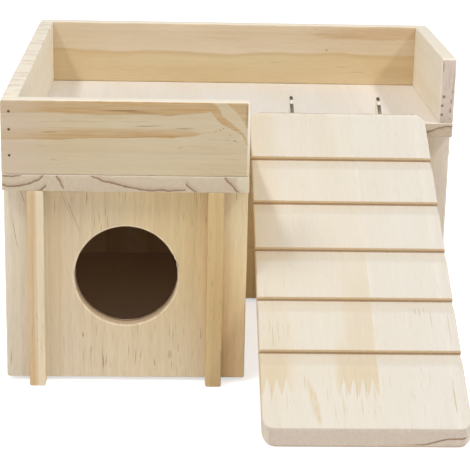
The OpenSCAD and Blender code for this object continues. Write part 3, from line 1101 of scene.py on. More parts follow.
# Across, along, half width, half length, lean and strength of each hairline crack
PANEL_CRACKS = (
    (-63.5, 56.0, 0.25, 7.0, -0.3, 0.8), (-68.5, 32.0, 0.25, 13.0, -0.16, 0.7),
    (-44.0, 50.0, 0.4, 6.0, 0.0, 0.4), (-39.0, -40.0, 0.4, 9.0, 0.0, 0.4),
    (-33.0, 45.0, 0.5, 18.0, -0.38, 0.4), (-36.5, 50.0, 0.4, 14.0, -0.36, 0.35),
    (27.5, -47.0, 2.0, 4.0, 0.0, 0.35), (-27.0, -34.0, 0.7, 2.2, 0.0, 0.6),
    (-22.0, -44.0, 0.5, 3.0, 0.05, 0.5), (18.0, -52.0, 0.5, 3.5, 0.0, 0.6),
    (33.0, -42.0, 0.4, 4.0, 0.0, 0.5), (6.0, -50.0, 0.45, 5.0, 0.0, 0.45))
PANEL_HALF = 75
PANEL_TINTS = (
    (-75, tone(236, 224, 204)), (-50, tone(225, 210, 181)), (-41, tone(218, 196, 158)),
    (-38, tone(218, 198, 168)), (0, tone(224, 203, 164)), (40, tone(220, 194, 147)),
    (60, tone(236, 210, 162)), (75, tone(237, 213, 170)))
RIGHT_STRIP, STRIP_HEAD, HEAD_PINE = (50, 54), (8, 40), tone(235, 216, 177)
FOOT_STEP = (-60, 20, 0.55)
FOOT_PINE, STRIP_FOOT_PINE = tone(219, 206, 184), tone(241, 198, 150)
WARM_SHARE = (0.985, 0.97, 0.95, 1.0)
# Few flecks half way up the panel, all of them near its foot and head
FLECK_STEP = (12, 40, 0.1, 1.0)
# The pale ring round the rim is a painted highlight on its eased edge.
SCORCHED_PINE, BURNT_PINE, RIM_PAINTED_HIGHLIGHT = tone(208, 182, 149), tone(112, 86, 64), tone(250, 234, 208)
SCORCH_EDGE = (0.0, 0.5)
RIM_INNER, RIM_OUTER = (0.2, 0.6), (0.8, 1.6, 0.6)
# The saw cuts from both sides meet this far behind the middle of the panel
BURN_DEPTH, BURN_STEP = 2.4, (0.5, 1.4, 0.8)
PANEL_PINE = dict(TAN_PINE, Ring_strength=0.22, Fibre_strength=0.5, Fleck_strength=0.8,
                  Streak=tone(158, 114, 66))


def panel_staves(wood):
    """Staves of different tone, pinkish at the left and yellower at the right, all paler at the foot."""
    inputs = wood.inputs
    tints, _ = table(wood.across, PANEL_TINTS, -PANEL_HALF, PANEL_HALF, "LINEAR")
    strip = wood.across.ease(*RIGHT_STRIP)
    headed = mix(strip * wood.along.ease(*STRIP_HEAD), tints, HEAD_PINE)
    foot_tone = mix(strip, FOOT_PINE, STRIP_FOOT_PINE)
    inputs["Pale"] = mix(wood.along.fade(*FOOT_STEP), headed, foot_tone)
    inputs["Warm"] = mix(1.0, inputs["Pale"], WARM_SHARE, "MULTIPLY")
    inputs["Mark"] = streaks(wood.position, PANEL_CRACKS)
    inputs["Fleck"] = inputs["Fleck"] * abs(wood.along).ease(*FLECK_STEP)
    above_hole = wood.along - (HOLE_HEIGHT - panel_middle.z) / MM
    past_rim = distance_of(wood.across, above_hole) - HOLE_RADIUS / MM
    hole_wall = mix(abs(wood.through - BURN_DEPTH).fade(*BURN_STEP), SCORCHED_PINE, BURNT_PINE)
    with_ends = ("Pale", "Warm", "Sawn")
    # A pale ring just outside the hole: a painted highlight on the eased rim.
    tint(wood, past_rim.ease(*RIM_INNER) * past_rim.fade(*RIM_OUTER), RIM_PAINTED_HIGHLIGHT, with_ends)
    tint(wood, past_rim.fade(*SCORCH_EDGE), hole_wall, with_ends)


panel_wood = board_wood("front_panel", UPRIGHT["y"], PANEL_PINE, panel_staves, Pith=(40, 60, 0),
                        Ring_width=5.0, Seed=14.0, Fleck_length=18.0)
board("front_panel", "y", panel_wood, PANEL_SEED, WALL_EDGE, WALL_CORNER, [entrance])
print("front panel:", len(PANEL_CRACKS), "hairline cracks")

# %% [markdown]
# The deck is the roof and the floor of the tray in one, glued from staves that show their end grain under
# the front rail. Each stave has a pith of its own, so its rings are arcs about another middle. A stepped
# Color Ramp holds the four numbers of each stave and hands them out by place.

# %% Wood of the deck
# Left side of each glued stave, then its pith across and up, the radius of one ring and the ring spacing
DECK_STAVES = (
    (0.0, 6.5, 159.0, 23.5, 6.2), (26.5, 87.0, 162.0, 60.0, 14.0), (37.5, 98.8, 248.0, 120.6, 17.0),
    (111.0, 150.0, 170.0, 54.4, 20.0), (134.0, 180.0, 174.0, 59.4, 20.0), (150.0, 190.0, 60.0, 70.0, 18.0),
    (230.0, 303.0, 82.8, 53.0, 16.0))
STAVE_SCALE = 400.0
DECK_WOBBLE_CELL, DECK_WOBBLE = (6, 6, 90), 2.4
RING_LINE, RING_SHADE = (0.6, 1.7), (0.5, 4.0, 0.3)
FACE_RING = 0.06
# Towards the right the deck turns rosier and paler: its own rosy tone, and painted light that lifts the
# shadow of the right rail.
ROSY_DECK_PAINTED_LIGHT, ROSY_PAINTED_LIGHT_STEP = tone(252, 240, 228), (60.0, 115.0, 0.0, 0.55)
TAN_SAWN, PINK_SAWN, SAPWOOD = tone(205, 190, 164), tone(205, 183, 161), tone(216, 204, 176)
SAPWOOD_LEFT, SAPWOOD_RIGHT = (-9.0, -6.0), (-0.5, 0.5)
DECK_PINE = dict(CREAM_PINE, Pale=tone(236, 229, 219), Warm=tone(234, 225, 211), Dark=tone(146, 114, 88),
                 Ring_strength=0.9)
deck_low, deck_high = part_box("deck")


def deck_staves(wood):
    """Rings about each stave's own pith, dark on the sawn end and faint on the face."""
    inputs = wood.inputs
    half_width = (deck_high.x - deck_low.x) / 2 / MM
    from_left = wood.across + half_width
    height = wood.through + (deck_low.z + deck_high.z) / 2 / MM
    rows = [(left, [value / STAVE_SCALE for value in rest]) for left, *rest in DECK_STAVES]
    glued, fourth = table(from_left, rows, 0.0, 2 * half_width, "CONSTANT")
    numbers = [share * STAVE_SCALE for share in (*glued.parts(), fourth)]
    stave_across, stave_up, ring_radius, spacing = numbers
    reach = distance_of(from_left - stave_across, height - stave_up) - ring_radius
    turns = (reach + swing(wood.position, DECK_WOBBLE_CELL, DECK_WOBBLE)) / spacing
    before_ring = calc("SUBTRACT", 1.0, calc("FRACT", turns)) * spacing
    late = before_ring.fade(*RING_LINE) | before_ring.fade(*RING_SHADE)
    inputs["Ring"] = late * (wood.end * (1 - FACE_RING) + FACE_RING)
    inputs["Fibre_strength"] = wood.end * END_FIBRE + FACE_FIBRE
    # The deck's own rosy tone, and painted light lifting the right rail's shadow.
    tint(wood, wood.across.ease(*ROSY_PAINTED_LIGHT_STEP), ROSY_DECK_PAINTED_LIGHT)
    sapwood = wood.across.ease(*SAPWOOD_LEFT) * wood.across.fade(*SAPWOOD_RIGHT)
    inputs["Sawn"] = mix(sapwood, mix(lottery(stave_up), TAN_SAWN, PINK_SAWN), SAPWOOD)


deck_wood = board_wood("deck", "xzy", DECK_PINE, deck_staves, Pith=(20, 110, 0), Ring_width=14.0, Seed=15.0)
print("deck of", len(DECK_STAVES), "staves")

# %% [markdown]
# In plan the deck is an L: the box stands out at the left, and the ramp leans on the inner edge. The L is
# an outline with one inward corner, and the two holes for the hooks are two more paths.

# %% Deck
DECK_CORNER = 1.0 * MM
DECK_EDGE = 0.6 * MM
DECK_SEED = 80
HOOK_BACK = 24.0 * MM
HOOK_HOLE_RADIUS = 1.5 * MM
HOOK_HOLE_EDGE = 0.2 * MM
HOOK_HOLE_STEPS = 24
box_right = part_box("front_rail")[1].x
recess_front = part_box("right_rail")[0].y
leg_y = recess_front + HOOK_BACK


def middle_x(node):
    """The middle of a CAD node from left to right."""
    low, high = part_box(node)
    return (low.x + high.x) / 2


deck_corners = [(deck_low.x, deck_low.y), (box_right, deck_low.y), (box_right, recess_front),
                (deck_high.x, recess_front), (deck_high.x, deck_high.y), (deck_low.x, deck_high.y)]
deck_rim, deck_out = outline(deck_corners, DECK_CORNER)
loops = [(deck_rim, deck_out, sanded(len(deck_rim), DECK_EDGE, DECK_SEED))]
for node in ("left_hook", "right_hook"):
    hole, hole_out = round_hole((middle_x(node), leg_y), HOOK_HOLE_RADIUS, HOOK_HOLE_STEPS)
    loops.append((hole, hole_out, np.full(HOOK_HOLE_STEPS, HOOK_HOLE_EDGE)))
piece("deck", *eased_plate(loops, deck_low.z, deck_high.z), deck_wood)
print("deck with", len(loops) - 1, "hook holes")

# %% [markdown]
# The ramp is one sloping board glued up from three staves. Its ends are cut plumb, its outer corners are
# rounded in plan, and five notches give the claws a hold. Each stave is a loft: a row of stations runs
# up the slope, and at each station a rounded rectangle spans the stave's width and the board's
# thickness. A notch is only a dip of the rectangle's upper side, so it is cut by moving stations.

# %% Stations of the ramp
RAMP_THICK = 10.0 * MM
PLAN_CORNER = 8.0 * MM
PLAN_STEPS = 6
END_EASE = 1.1 * MM
NOTCH_COUNT = 5
NOTCH_FIRST = 45.8 * MM
NOTCH_PITCH = 43.3 * MM
# One notch, as millimetres past its wall and below the face: a rounded lip, the root and the end of its run
NOTCH_SHAPE = np.array([(-0.35, 0.0), (-0.1, 0.1), (0.0, 0.35), (0.05, 3.3), (0.35, 3.45), (12.5, 0.0)])
STATION_STEP = 5.0 * MM
# The stations are square to the slope this far from its middle, and turn to plumb at the ends
NOTCHED_HALF = 93.5 * MM

left_low, left_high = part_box("ramp_left_stave")
foot_y, end_y, top_z = left_low.y, left_high.y, left_high.z
run = end_y - foot_y
SLOPE = math.acos(RAMP_THICK / math.hypot(run, top_z)) - math.atan2(run, top_z)
SLOPE_LENGTH = run / math.cos(SLOPE)
QUARTER = np.linspace(0, np.pi / 2, ARRIS_STEPS + 1)


def stations():
    """Rows of distance from the upper end, depth below the face and inset, from the foot up: even steps, the
    corners of the notches, and the quarter circles of the eased ends and of the corners in plan. A quarter
    circle at angle a lies radius times (1 - cos a) from the end."""
    starts = NOTCH_FIRST + NOTCH_PITCH * np.arange(NOTCH_COUNT)
    cut = np.concatenate([NOTCH_SHAPE * MM + (start, 0.0) for start in starts])
    even = np.arange(STATION_STEP, SLOPE_LENGTH - STATION_STEP / 2, STATION_STEP)
    even = even[np.abs(even[:, None] - cut[None, :, 0]).min(1) > STATION_STEP / 4]
    lead = END_EASE * (1 - np.cos(QUARTER)) / math.cos(SLOPE)
    bow = PLAN_CORNER * (1 - np.cos(np.linspace(0, np.pi / 2, PLAN_STEPS + 1)[1:])) / math.cos(SLOPE)
    shrink = END_EASE * (1 - np.sin(QUARTER))
    distance = np.concatenate([even, cut[:, 0], lead, SLOPE_LENGTH - lead, bow, SLOPE_LENGTH - bow])
    depth = np.concatenate([np.interp(even, *cut.T), cut[:, 1], np.zeros(2 * (len(lead) + len(bow)))])
    inset = np.concatenate([np.zeros(len(even) + len(cut)), shrink, shrink, np.zeros(2 * len(bow))])
    order = np.argsort(-distance, kind="stable")
    return distance[order], depth[order], inset[order]


def on_slope(distance, depth):
    """Back and up of points at a distance from the upper end of the slope and a depth below its face."""
    return np.stack([end_y - distance * math.cos(SLOPE) + depth * math.sin(SLOPE),
                     top_z - distance * math.sin(SLOPE) - depth * math.cos(SLOPE)], 1)


print("ramp slope in degrees:", round(math.degrees(SLOPE), 2), "with", len(stations()[0]), "stations")

# %% [markdown]
# A stave now takes those stations and its own two sides. The outer arrises are rounded well, and those at
# a glued seam only just, so that the seam shows as a fine line.

# %% Staves of the ramp
OUTER_EASE = 1.2 * MM
SEAM_EASE = 0.1 * MM
# A station is left out where the stave is narrower than this many insets
LEAST_INSETS = 4
ramp_left = left_low.x
ramp_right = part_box("ramp_edge_strip")[1].x


def stave(node, left_ease, right_ease, material):
    """One stave of the ramp: rounded rectangles carried up the slope. The corner of a rectangle at angle a
    lies in from its side by ease times (1 - cos a) and below the face by ease times (1 - sin a)."""
    low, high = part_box(node)
    distance, depth, inset = stations()
    from_end = np.minimum(distance, SLOPE_LENGTH - distance) * math.cos(SLOPE)
    missing = np.clip(PLAN_CORNER - from_end, 0, PLAN_CORNER)
    bow = PLAN_CORNER - np.sqrt(PLAN_CORNER ** 2 - missing ** 2)
    start_x = np.maximum(low.x, ramp_left + bow)
    stop_x = np.minimum(high.x, ramp_right - bow)
    wide = stop_x - start_x > LEAST_INSETS * inset
    distance, depth = distance[wide], depth[wide]
    inset, start_x, stop_x = inset[wide, None], start_x[wide, None], stop_x[wide, None]
    plumb_part = SLOPE_LENGTH / 2 - NOTCHED_HALF - PLAN_CORNER / math.cos(SLOPE)
    lean = np.clip((np.abs(distance - SLOPE_LENGTH / 2) - NOTCHED_HALF) / plumb_part, 0, 1)
    top = on_slope(distance, depth)
    under = on_slope(distance + lean * RAMP_THICK * math.tan(SLOPE), RAMP_THICK)
    height = np.linalg.norm(under - top, axis=1)[:, None]
    down = (under - top) / height
    left_x = start_x + inset + left_ease * (1 - np.cos(QUARTER))
    right_x = stop_x - inset - right_ease * (1 - np.cos(QUARTER[::-1]))
    left_drop = inset + left_ease * (1 - np.sin(QUARTER))
    right_drop = inset + right_ease * (1 - np.sin(QUARTER[::-1]))
    ring_x = np.concatenate([left_x, right_x, right_x[:, ::-1], left_x[:, ::-1]], 1)
    upper = np.concatenate([left_drop, right_drop], 1)
    ring_drop = np.concatenate([upper, height - upper[:, ::-1]], 1)
    ring_yz = top[:, None] + down[:, None] * ring_drop[..., None]
    points = np.concatenate([ring_x[..., None], ring_yz], 2)
    index = np.arange(ring_x.size).reshape(ring_x.shape)
    sides = np.roll(ring_quads(index)[:, ::-1], 1, 1)
    ends = [index[0, ::-1].tolist(), index[-1].tolist()]
    piece(node, points.reshape(-1, 3), sides.tolist() + ends, 0, material)


print("ramp is", round((ramp_right - ramp_left) / MM, 1), "mm wide")

# %% [markdown]
# The wood of the ramp is pale and sanded. The walls of the notches are end grain and so a little browner,
# and darker at their roots as painted shade; the runs of the notches keep faint saw lines, and the plumb end
# at the foot is greyish pink. A painted shadow line runs along the lower edge of the plumb ends.

# %% Notches and ends of the ramp
RAMP_PALE = dict(CREAM_PINE, Pale=tone(231, 224, 212), Warm=tone(229, 221, 206), Ring_strength=0.12)
RAMP_YELLOW = dict(CREAM_PINE, Pale=tone(231, 223, 208), Warm=tone(229, 219, 201), Ring_strength=0.15)
# The darker brown at the roots of the notch walls is painted shade, and the grey along the lower edge of the
# plumb ends is a painted shadow line.
NOTCH_BROWN, ROOT_PAINTED_SHADE, ROOT_SHADE_STEP = tone(226, 202, 168), tone(184, 154, 118), (2.6, 3.6)
FOOT_SAWN, FOOT_SHADOW_GREY, FOOT_SHADOW_STEP = tone(210, 195, 180), tone(150, 132, 118), (-4.8, -3.4, 0.6)
END_PART = 12.0
SAW_BROWN, SAW_CELL, SAW_STEP = tone(206, 180, 140), (1.1, 60, 40), (0.35, 0.65, 0.3, 1.0)
CUT_FACE, ABOVE_UNDERSIDE = (4.3, 4.9, 0.14), (-4.0, -1.0)
RAMP_END_FIBRE = 0.4


def sawn_notches(wood):
    """Brown on the notch walls and darker at their roots as painted shade, greyish pink on the plumb ends
    with a painted shadow line along their lower edge, and a duller face in the notch runs.
    """
    inputs = wood.inputs
    half_length = SLOPE_LENGTH / 2 / MM
    at_end = abs(wood.along).ease(half_length - END_PART, half_length - END_PART / 2)
    # The roots of the notch walls get a darker brown: painted shade.
    inputs["Sawn"] = mix(at_end, mix(wood.through.fade(*ROOT_SHADE_STEP), NOTCH_BROWN, ROOT_PAINTED_SHADE), FOOT_SAWN)
    saw_lines = grain_noise(wood.position, SAW_CELL).ease(*SAW_STEP)
    rough_cut = wood.through.fade(*CUT_FACE) * saw_lines * wood.through.ease(*ABOVE_UNDERSIDE)
    # A grey line along the lower edge of the plumb ends: a painted shadow.
    foot_shadow_line = at_end * wood.through.fade(*FOOT_SHADOW_STEP) * wood.end
    inputs["Mark"] = inputs["Mark"] | foot_shadow_line
    inputs["Fibre_strength"] = wood.end * RAMP_END_FIBRE + FACE_FIBRE
    tint(wood, foot_shadow_line, FOOT_SHADOW_GREY, ("Streak",))
    tint(wood, rough_cut, SAW_BROWN)


print("the foot's end is", round(RAMP_THICK / math.cos(SLOPE) / MM, 1), "mm high")

# %% [markdown]
# The left stave was lengthened by a finger joint near the foot. The joint is flush in the wood, so it is
# only drawn: a zigzag across the stave parts the paler foot piece from the yellower upper piece.

# %% Figure of the left stave
FINGER_PITCH, FINGER_TOP, FINGER_TIP, FINGER_EDGE = 5.7, -99.0, -112.6, (-0.4, 0.4)
YELLOW_PINE = tone(222, 204, 172)
YELLOW_LEFT, YELLOW_RIGHT = (-22, -14, 1.0, 0.15), (8, 14, 0.0, 0.85)
YELLOW_UP = (-97, -60, 0.85, 0.1)
SEAM_SIDE, SEAM_UP = (14, 21), (-80, 60, 0.55)
# Where the left edge of the ramp is tinted yellow beside the box: painted warm shade.
BOX_SHADE_SIDE, BOX_SHADE_UP = (-34, -12, 0.6), (-20, 10)
MOTTLE_CELL, MOTTLE_DETAIL, MOTTLE_STEP = (1.2, 1.2, 7), 3.0, (0.35, 0.62, 0.35, 1.0)
# Across, along, half width, half length, lean and strength of the stripes and of the scratches
LEFT_STRIPES = (
    (-3.8, -118.0, 3.2, 22.0, -0.14, 1.0), (-6.4, -106.0, 2.0, 10.0, -0.14, 0.8),
    (13.0, -120.0, 0.7, 14.0, 0.0, 0.8), (24.0, -121.0, 0.8, 12.0, 0.0, 0.7),
    (31.0, -122.0, 0.6, 12.0, 0.0, 0.7), (-20.0, -117.0, 0.6, 10.0, 0.0, 0.6),
    (8.0, -124.0, 0.6, 9.0, 0.0, 0.6), (-17.0, -62.0, 1.2, 11.0, 0.0, 0.8))
LEFT_SCUFFS = (
    (-26.5, -66.0, 0.4, 15.0, 0.0, 0.6), (-23.0, -60.0, 0.35, 12.0, 0.0, 0.5),
    (-28.5, -58.0, 0.35, 9.0, 0.02, 0.5), (-30.0, -30.0, 0.35, 12.0, 0.0, 0.5),
    (-18.0, -22.0, 0.35, 8.0, 0.0, 0.4), (27.0, -108.0, 0.4, 9.0, 0.0, 0.6),
    (21.5, -109.0, 0.4, 8.0, 0.0, 0.6), (15.5, -109.0, 0.4, 7.0, 0.0, 0.5),
    (32.0, -110.0, 0.35, 8.0, 0.0, 0.5), (-9.0, -103.0, 0.4, 8.0, 0.0, 0.6),
    (4.0, -112.0, 0.35, 7.0, 0.0, 0.4), (-29.0, -112.0, 0.35, 8.0, 0.0, 0.5))


def left_stave_figure(wood):
    """The stave is lengthened by a finger joint near its foot: the upper piece is yellower. Beside the box
    its left edge is tinted yellow as painted warm shade.
    """
    across, along = wood.across, wood.along
    fingers = calc("PINGPONG", across, FINGER_PITCH / 2) / (FINGER_PITCH / 2)
    upper = (along - (fingers * (FINGER_TOP - FINGER_TIP) + FINGER_TIP)).ease(*FINGER_EDGE)
    yellow = upper * (across.ease(*YELLOW_LEFT) + across.ease(*YELLOW_RIGHT)) * along.ease(*YELLOW_UP)
    mottled = grain_noise(wood.position, MOTTLE_CELL, MOTTLE_DETAIL).ease(*MOTTLE_STEP)
    beside_seam = upper * across.ease(*SEAM_SIDE) * along.fade(*SEAM_UP)
    painted_box_shade = across.fade(*BOX_SHADE_SIDE) * along.ease(*BOX_SHADE_UP)
    stripes = streaks(wood.position, LEFT_STRIPES) * mottled
    # Beside the box the left edge is tinted yellow as painted warm shade.
    tint(wood, yellow | beside_seam | painted_box_shade | stripes, YELLOW_PINE)
    wood.inputs["Mark"] = streaks(wood.position, LEFT_SCUFFS)
    sawn_notches(wood)


print("finger joint:", round(FINGER_TOP - FINGER_TIP, 1), "mm deep")

# %% [markdown]
# The end at the foot shows one dark ring that runs on from the middle stave into the edge strip, whose
# seam gapes a little. With that, all three staves can be made.

# %% The three staves
# Across, along, half width, half length, lean and strength of the scratches and of the cracks
MIDDLE_SCUFFS = (
    (5.5, -44.0, 0.4, 5.0, 0.0, 0.7), (8.0, -45.0, 0.4, 6.0, 0.0, 0.7), (11.0, -43.0, 0.4, 4.0, 0.0, 0.6),
    (14.5, -50.0, 0.35, 11.0, 0.0, 0.5), (-15.0, -100.0, 0.3, 9.0, 0.0, 0.3),
    (9.0, -98.0, 0.3, 10.0, 0.0, 0.35))
EDGE_CRACKS = ((-3.9, -112.0, 0.5, 17.0, 0.0, 0.8), (-1.0, -60.0, 0.4, 20.0, 0.0, 0.5))
LINE_BROWN, LINE_EDGE, LINE_FOOT = tone(140, 112, 88), (0.25, 0.75), (-60.0, -50.0, 0.9)
# Height of the dark ring from the middle of the board's thickness, and how far it reaches across
MIDDLE_LINE, MIDDLE_REACH = (0.0, 18.0, -3.4, -0.2), (-18.0, 6.0)
EDGE_LINE, EDGE_REACH = -0.4, (1.0, 3.0)


def end_line(wood, height, reach):
    """Marks a thin dark line on the foot's end at a height from its middle, as far as it reaches."""
    line = abs(wood.through - height).fade(*LINE_EDGE) * reach * wood.end * wood.along.fade(*LINE_FOOT)
    wood.inputs["Mark"] = wood.inputs["Mark"] | line
    tint(wood, line, LINE_BROWN, ("Streak",))


def foot_line(wood):
    """A ring on the foot's end that rises from the lower edge to half of the height."""
    wood.inputs["Mark"] = streaks(wood.position, MIDDLE_SCUFFS)
    end_line(wood, wood.across.ease(*MIDDLE_LINE), wood.across.ease(*MIDDLE_REACH))
    sawn_notches(wood)


def edge_crack(wood):
    """The seam of the edge strip gapes a little near the foot, and the ring on the end runs on into it."""
    wood.inputs["Mark"] = streaks(wood.position, EDGE_CRACKS)
    end_line(wood, EDGE_LINE, wood.across.fade(*EDGE_REACH))
    sawn_notches(wood)


# Ease of the left and right arrises, what grew in it or is painted on it as light and shade, colours, pith,
# width of a ring and seed of its figure
STAVES = {
    "ramp_left_stave": (OUTER_EASE, SEAM_EASE, left_stave_figure, RAMP_YELLOW, (20, 90, 0), 14.0, 16.0),
    "ramp_middle_stave": (SEAM_EASE, SEAM_EASE, foot_line, RAMP_PALE, (-30, 120, 0), 16.0, 17.0),
    "ramp_edge_strip": (SEAM_EASE, OUTER_EASE, edge_crack, RAMP_PALE, (60, 80, 0), 12.0, 18.0),
}
for node, (left_ease, right_ease, own_figure_and_light, colours, pith, ring_width, seed) in STAVES.items():
    low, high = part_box(node)
    half = [side / 2 / MM for side in (high.x - low.x, RAMP_THICK, SLOPE_LENGTH)]
    stave_wood = board_wood(node, "xzy", colours, own_figure_and_light, SLOPE, half, Pith=pith, Ring_width=ring_width,
                            Seed=seed)
    stave(node, left_ease, right_ease, stave_wood)
print("staves:", ", ".join(STAVES))

# %% [markdown]
# The hooks are short lengths of bright wire. Each is driven into the end of the ramp along the slope,
# comes out over the tray, bends and drops into a hole in the deck. A circle carried along that path makes
# the wire.

# %% Wire hooks
WIRE_RADIUS = 1.2 * MM
BEND_RADIUS = 3.5 * MM
SHANK_IN = 14.0 * MM
SHANK_LIFT = 0.6 * MM
LEG_DEPTH = 9.0 * MM
WIRE_SIDES = 20
BEND_STEPS = 12
deck_top = deck_high.z


def wire_path():
    """Points and directions of the wire's middle line in the plane of y and z: the shank, a bend that turns
    it from uphill to straight down, and the leg."""
    up_slope = np.array([math.cos(SLOPE), math.sin(SLOPE)])
    shank_root = np.array([end_y, deck_top + WIRE_RADIUS / math.cos(SLOPE) + SHANK_LIFT])
    bend_from = leg_y - BEND_RADIUS * (1 + math.sin(SLOPE))
    shank_end = shank_root + up_slope * (bend_from - end_y) / math.cos(SLOPE)
    centre = shank_end - BEND_RADIUS * np.array([-math.sin(SLOPE), math.cos(SLOPE)])
    angle = np.linspace(np.pi / 2 + SLOPE, 0, BEND_STEPS + 1)[:, None]
    bend = centre + BEND_RADIUS * np.concatenate([np.cos(angle), np.sin(angle)], 1)
    heading = np.concatenate([np.sin(angle), -np.cos(angle)], 1)
    line = np.concatenate([[shank_root - up_slope * SHANK_IN], bend, [[leg_y, deck_top - LEG_DEPTH]]])
    return line, np.concatenate([[up_slope], heading, [[0.0, -1.0]]])


def hook(node, material):
    """A circle carried along the wire path, closed at both ends."""
    line, heading = wire_path()
    turn = 2 * np.pi * np.arange(WIRE_SIDES) / WIRE_SIDES
    side = np.stack([-heading[:, 1], heading[:, 0]], 1)
    ring_x = np.broadcast_to(middle_x(node) + WIRE_RADIUS * np.cos(turn), (len(line), WIRE_SIDES))
    ring_yz = line[:, None] + WIRE_RADIUS * side[:, None] * np.sin(turn)[:, None]
    points = np.concatenate([ring_x[..., None], ring_yz], 2)
    index = np.arange(ring_x.size).reshape(ring_x.shape)
    sides = ring_quads(index).tolist()
    ends = [index[0].tolist(), index[-1, ::-1].tolist()]
    piece(node, points.reshape(-1, 3), sides + ends, len(sides), material)


print("leg of a hook stands", round((leg_y - end_y) / MM, 1), "mm behind the ramp")

# %% [markdown]
# Steel of this kind is never even: it has dull spots, and the spots are also less glossy and a little
# pitted. The hooks get a painted highlight just below the bend and on the leg.

# %% Steel
SPOT_DETAIL, SPOT_ROUGHNESS, SPOT_EDGE = 3.0, 0.6, (0.4, 0.65)
SPOT_DULLNESS = 0.2
STEEL_BUMP, STEEL_PITS = 0.2, 0.05 * MM
# Colour and roughness of the painted highlight on the hooks.
HIGHLIGHT_WHITE_STEEL, HIGHLIGHT_ROUGHNESS = tone(255, 250, 238), 0.7
# Millimetres below the top of the bend where the painted highlight starts and ends, and millimetres behind
# the leg's middle line where the leg begins
HIGHLIGHT_FROM, HIGHLIGHT_TO, LEG_FROM = (1.5, 2.1), (3.6, 4.2), (-2.2, -1.4)


def metal(name, clean, dull, gloss, spot_size, bend=None):
    """A steel finish: bright metal with dull spots, whose gloss and bump follow the spots. Where the place
    of a bend is given, back and up in millimetres, the wire gets a painted highlight below it and on its
    leg."""
    material, tree, sockets = new_finish(name)
    place = Mask(tree, tree.nodes.new("ShaderNodeTexCoord").outputs["Object"])
    position = vector_calc("SCALE", place, scale=1 / MM)
    spots = grain_noise(position, (spot_size,) * 3, SPOT_DETAIL, SPOT_ROUGHNESS)
    mask = spots.ease(*SPOT_EDGE)
    colour = mix(mask, clean, dull)
    sheen = mask * SPOT_DULLNESS + gloss
    if bend:
        back, tip = bend
        _, along_y, height = position.parts()
        drop = calc("SUBTRACT", tip, height)
        # A painted highlight below the bend and on the leg.
        highlight_part = drop.ease(*HIGHLIGHT_FROM) * (drop.fade(*HIGHLIGHT_TO) | (along_y - back).ease(*LEG_FROM))
        colour = mix(highlight_part, colour, HIGHLIGHT_WHITE_STEEL)
        sheen = sheen | highlight_part * HIGHLIGHT_ROUGHNESS
    feed(sockets["Base Color"], colour)
    feed(sockets["Roughness"], sheen)
    sockets["Metallic"].default_value = 1.0
    bumped(sockets, spots, STEEL_BUMP, STEEL_PITS)
    return material


WIRE_CLEAN, WIRE_DULL, WIRE_GLOSS, WIRE_SPOT = tone(150, 143, 133), tone(116, 108, 97), 0.3, 1.5
bend_place = (leg_y / MM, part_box("left_hook")[1].z / MM)
wire_with_painted_highlight = metal("wire_with_painted_highlight", WIRE_CLEAN, WIRE_DULL, WIRE_GLOSS, WIRE_SPOT, bend_place)
for node in ("left_hook", "right_hook"):
    hook(node, wire_with_painted_highlight)
print("hooks", round((middle_x("right_hook") - middle_x("left_hook")) / MM, 1), "mm apart")

# %% [markdown]
# Small nails hold the rails at three corners, three nails to a corner. A nail is a turned shape: a
# profile of distance from the head and radius is spun round the nail's own line. Their heads stand a
# hair proud of the wood and have gone brown.

# %% Nails
NAIL_RADIUS = 0.9 * MM
NAIL_LENGTH = 24.0 * MM
NAIL_HEIGHTS = np.array([176.0, 165.0, 149.0]) * MM
NAIL_INSET = 5.0 * MM
NAIL_PROUD = 0.12 * MM
NAIL_SIDES = 16
NAIL_CLEAN, NAIL_DULL, NAIL_GLOSS, NAIL_SPOT = tone(132, 104, 82), tone(96, 64, 46), 0.45, 0.8
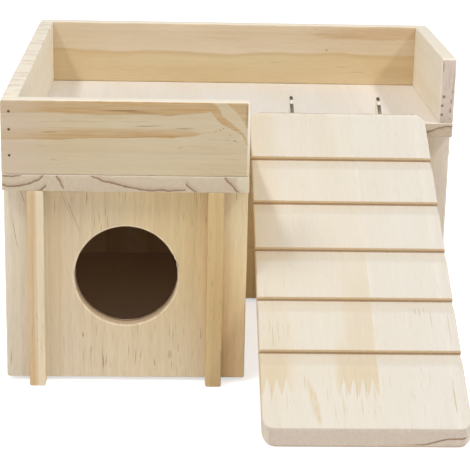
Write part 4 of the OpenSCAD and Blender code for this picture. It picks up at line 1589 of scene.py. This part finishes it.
# Place of the row of nails across the house, face that it is driven into, and direction of driving
NAIL_ROWS = ((deck_low.x + NAIL_INSET, deck_low.y, 1.0), (deck_low.x + NAIL_INSET, deck_high.y, -1.0),
             (deck_high.x - NAIL_INSET, deck_high.y, -1.0))
# Distance from the head and radius, as shares of the nail's length and radius
NAIL_PROFILE = np.array(
    [(0.0, 0.0), (0.0, 0.8), (0.008, 1.0), (0.03, 1.0), (0.04, 0.8), (0.92, 0.8), (1.0, 0.0)])


def nail(row_x, face_y, drive, height, base):
    """One nail, whose points are numbered from base: a point at angle a of the spin lies at radius times
    cos a to the side and radius times sin a up. Returns its points and faces."""
    spin = 2 * np.pi * np.arange(NAIL_SIDES) / NAIL_SIDES
    reach = face_y + drive * (NAIL_PROFILE[:, 0] * NAIL_LENGTH - NAIL_PROUD)
    wide = NAIL_PROFILE[:, 1:] * NAIL_RADIUS
    rings = np.stack([row_x + wide * np.cos(spin), np.repeat(reach[:, None], NAIL_SIDES, 1),
                      height + drive * wide * np.sin(spin)], -1)
    points = np.concatenate([rings[0, :1], rings[1:-1].reshape(-1, 3), rings[-1, :1]])
    index = base + 1 + np.arange(len(points) - 2).reshape(-1, NAIL_SIDES)
    onward = np.roll(index, -1, 1)
    head = np.stack([np.full(NAIL_SIDES, base), index[0], onward[0]], 1)
    tip = np.stack([np.full(NAIL_SIDES, base + len(points) - 1), onward[-1], index[-1]], 1)
    return points, ring_quads(index).tolist() + head.tolist() + tip.tolist()


nail_points, nail_faces = np.empty((0, 3)), []
for row in NAIL_ROWS:
    for height in NAIL_HEIGHTS:
        points, faces = nail(*row, height, len(nail_points))
        nail_points = np.concatenate([nail_points, points])
        nail_faces += faces
dull_steel = metal("dull_nail_steel", NAIL_CLEAN, NAIL_DULL, NAIL_GLOSS, NAIL_SPOT)
piece("rail_nails", nail_points, nail_faces, 0, dull_steel)
print(len(NAIL_ROWS) * len(NAIL_HEIGHTS), "nails")

# %% [markdown]
# Last, the size of the finished hide is measured and kept beside the size of the CAD model, so that the
# two can be compared. Only the heads of the nails at the back may stand out of the CAD box.

low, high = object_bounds()
print("visual box in mm:", [round(side / MM, 1) for side in high - low])
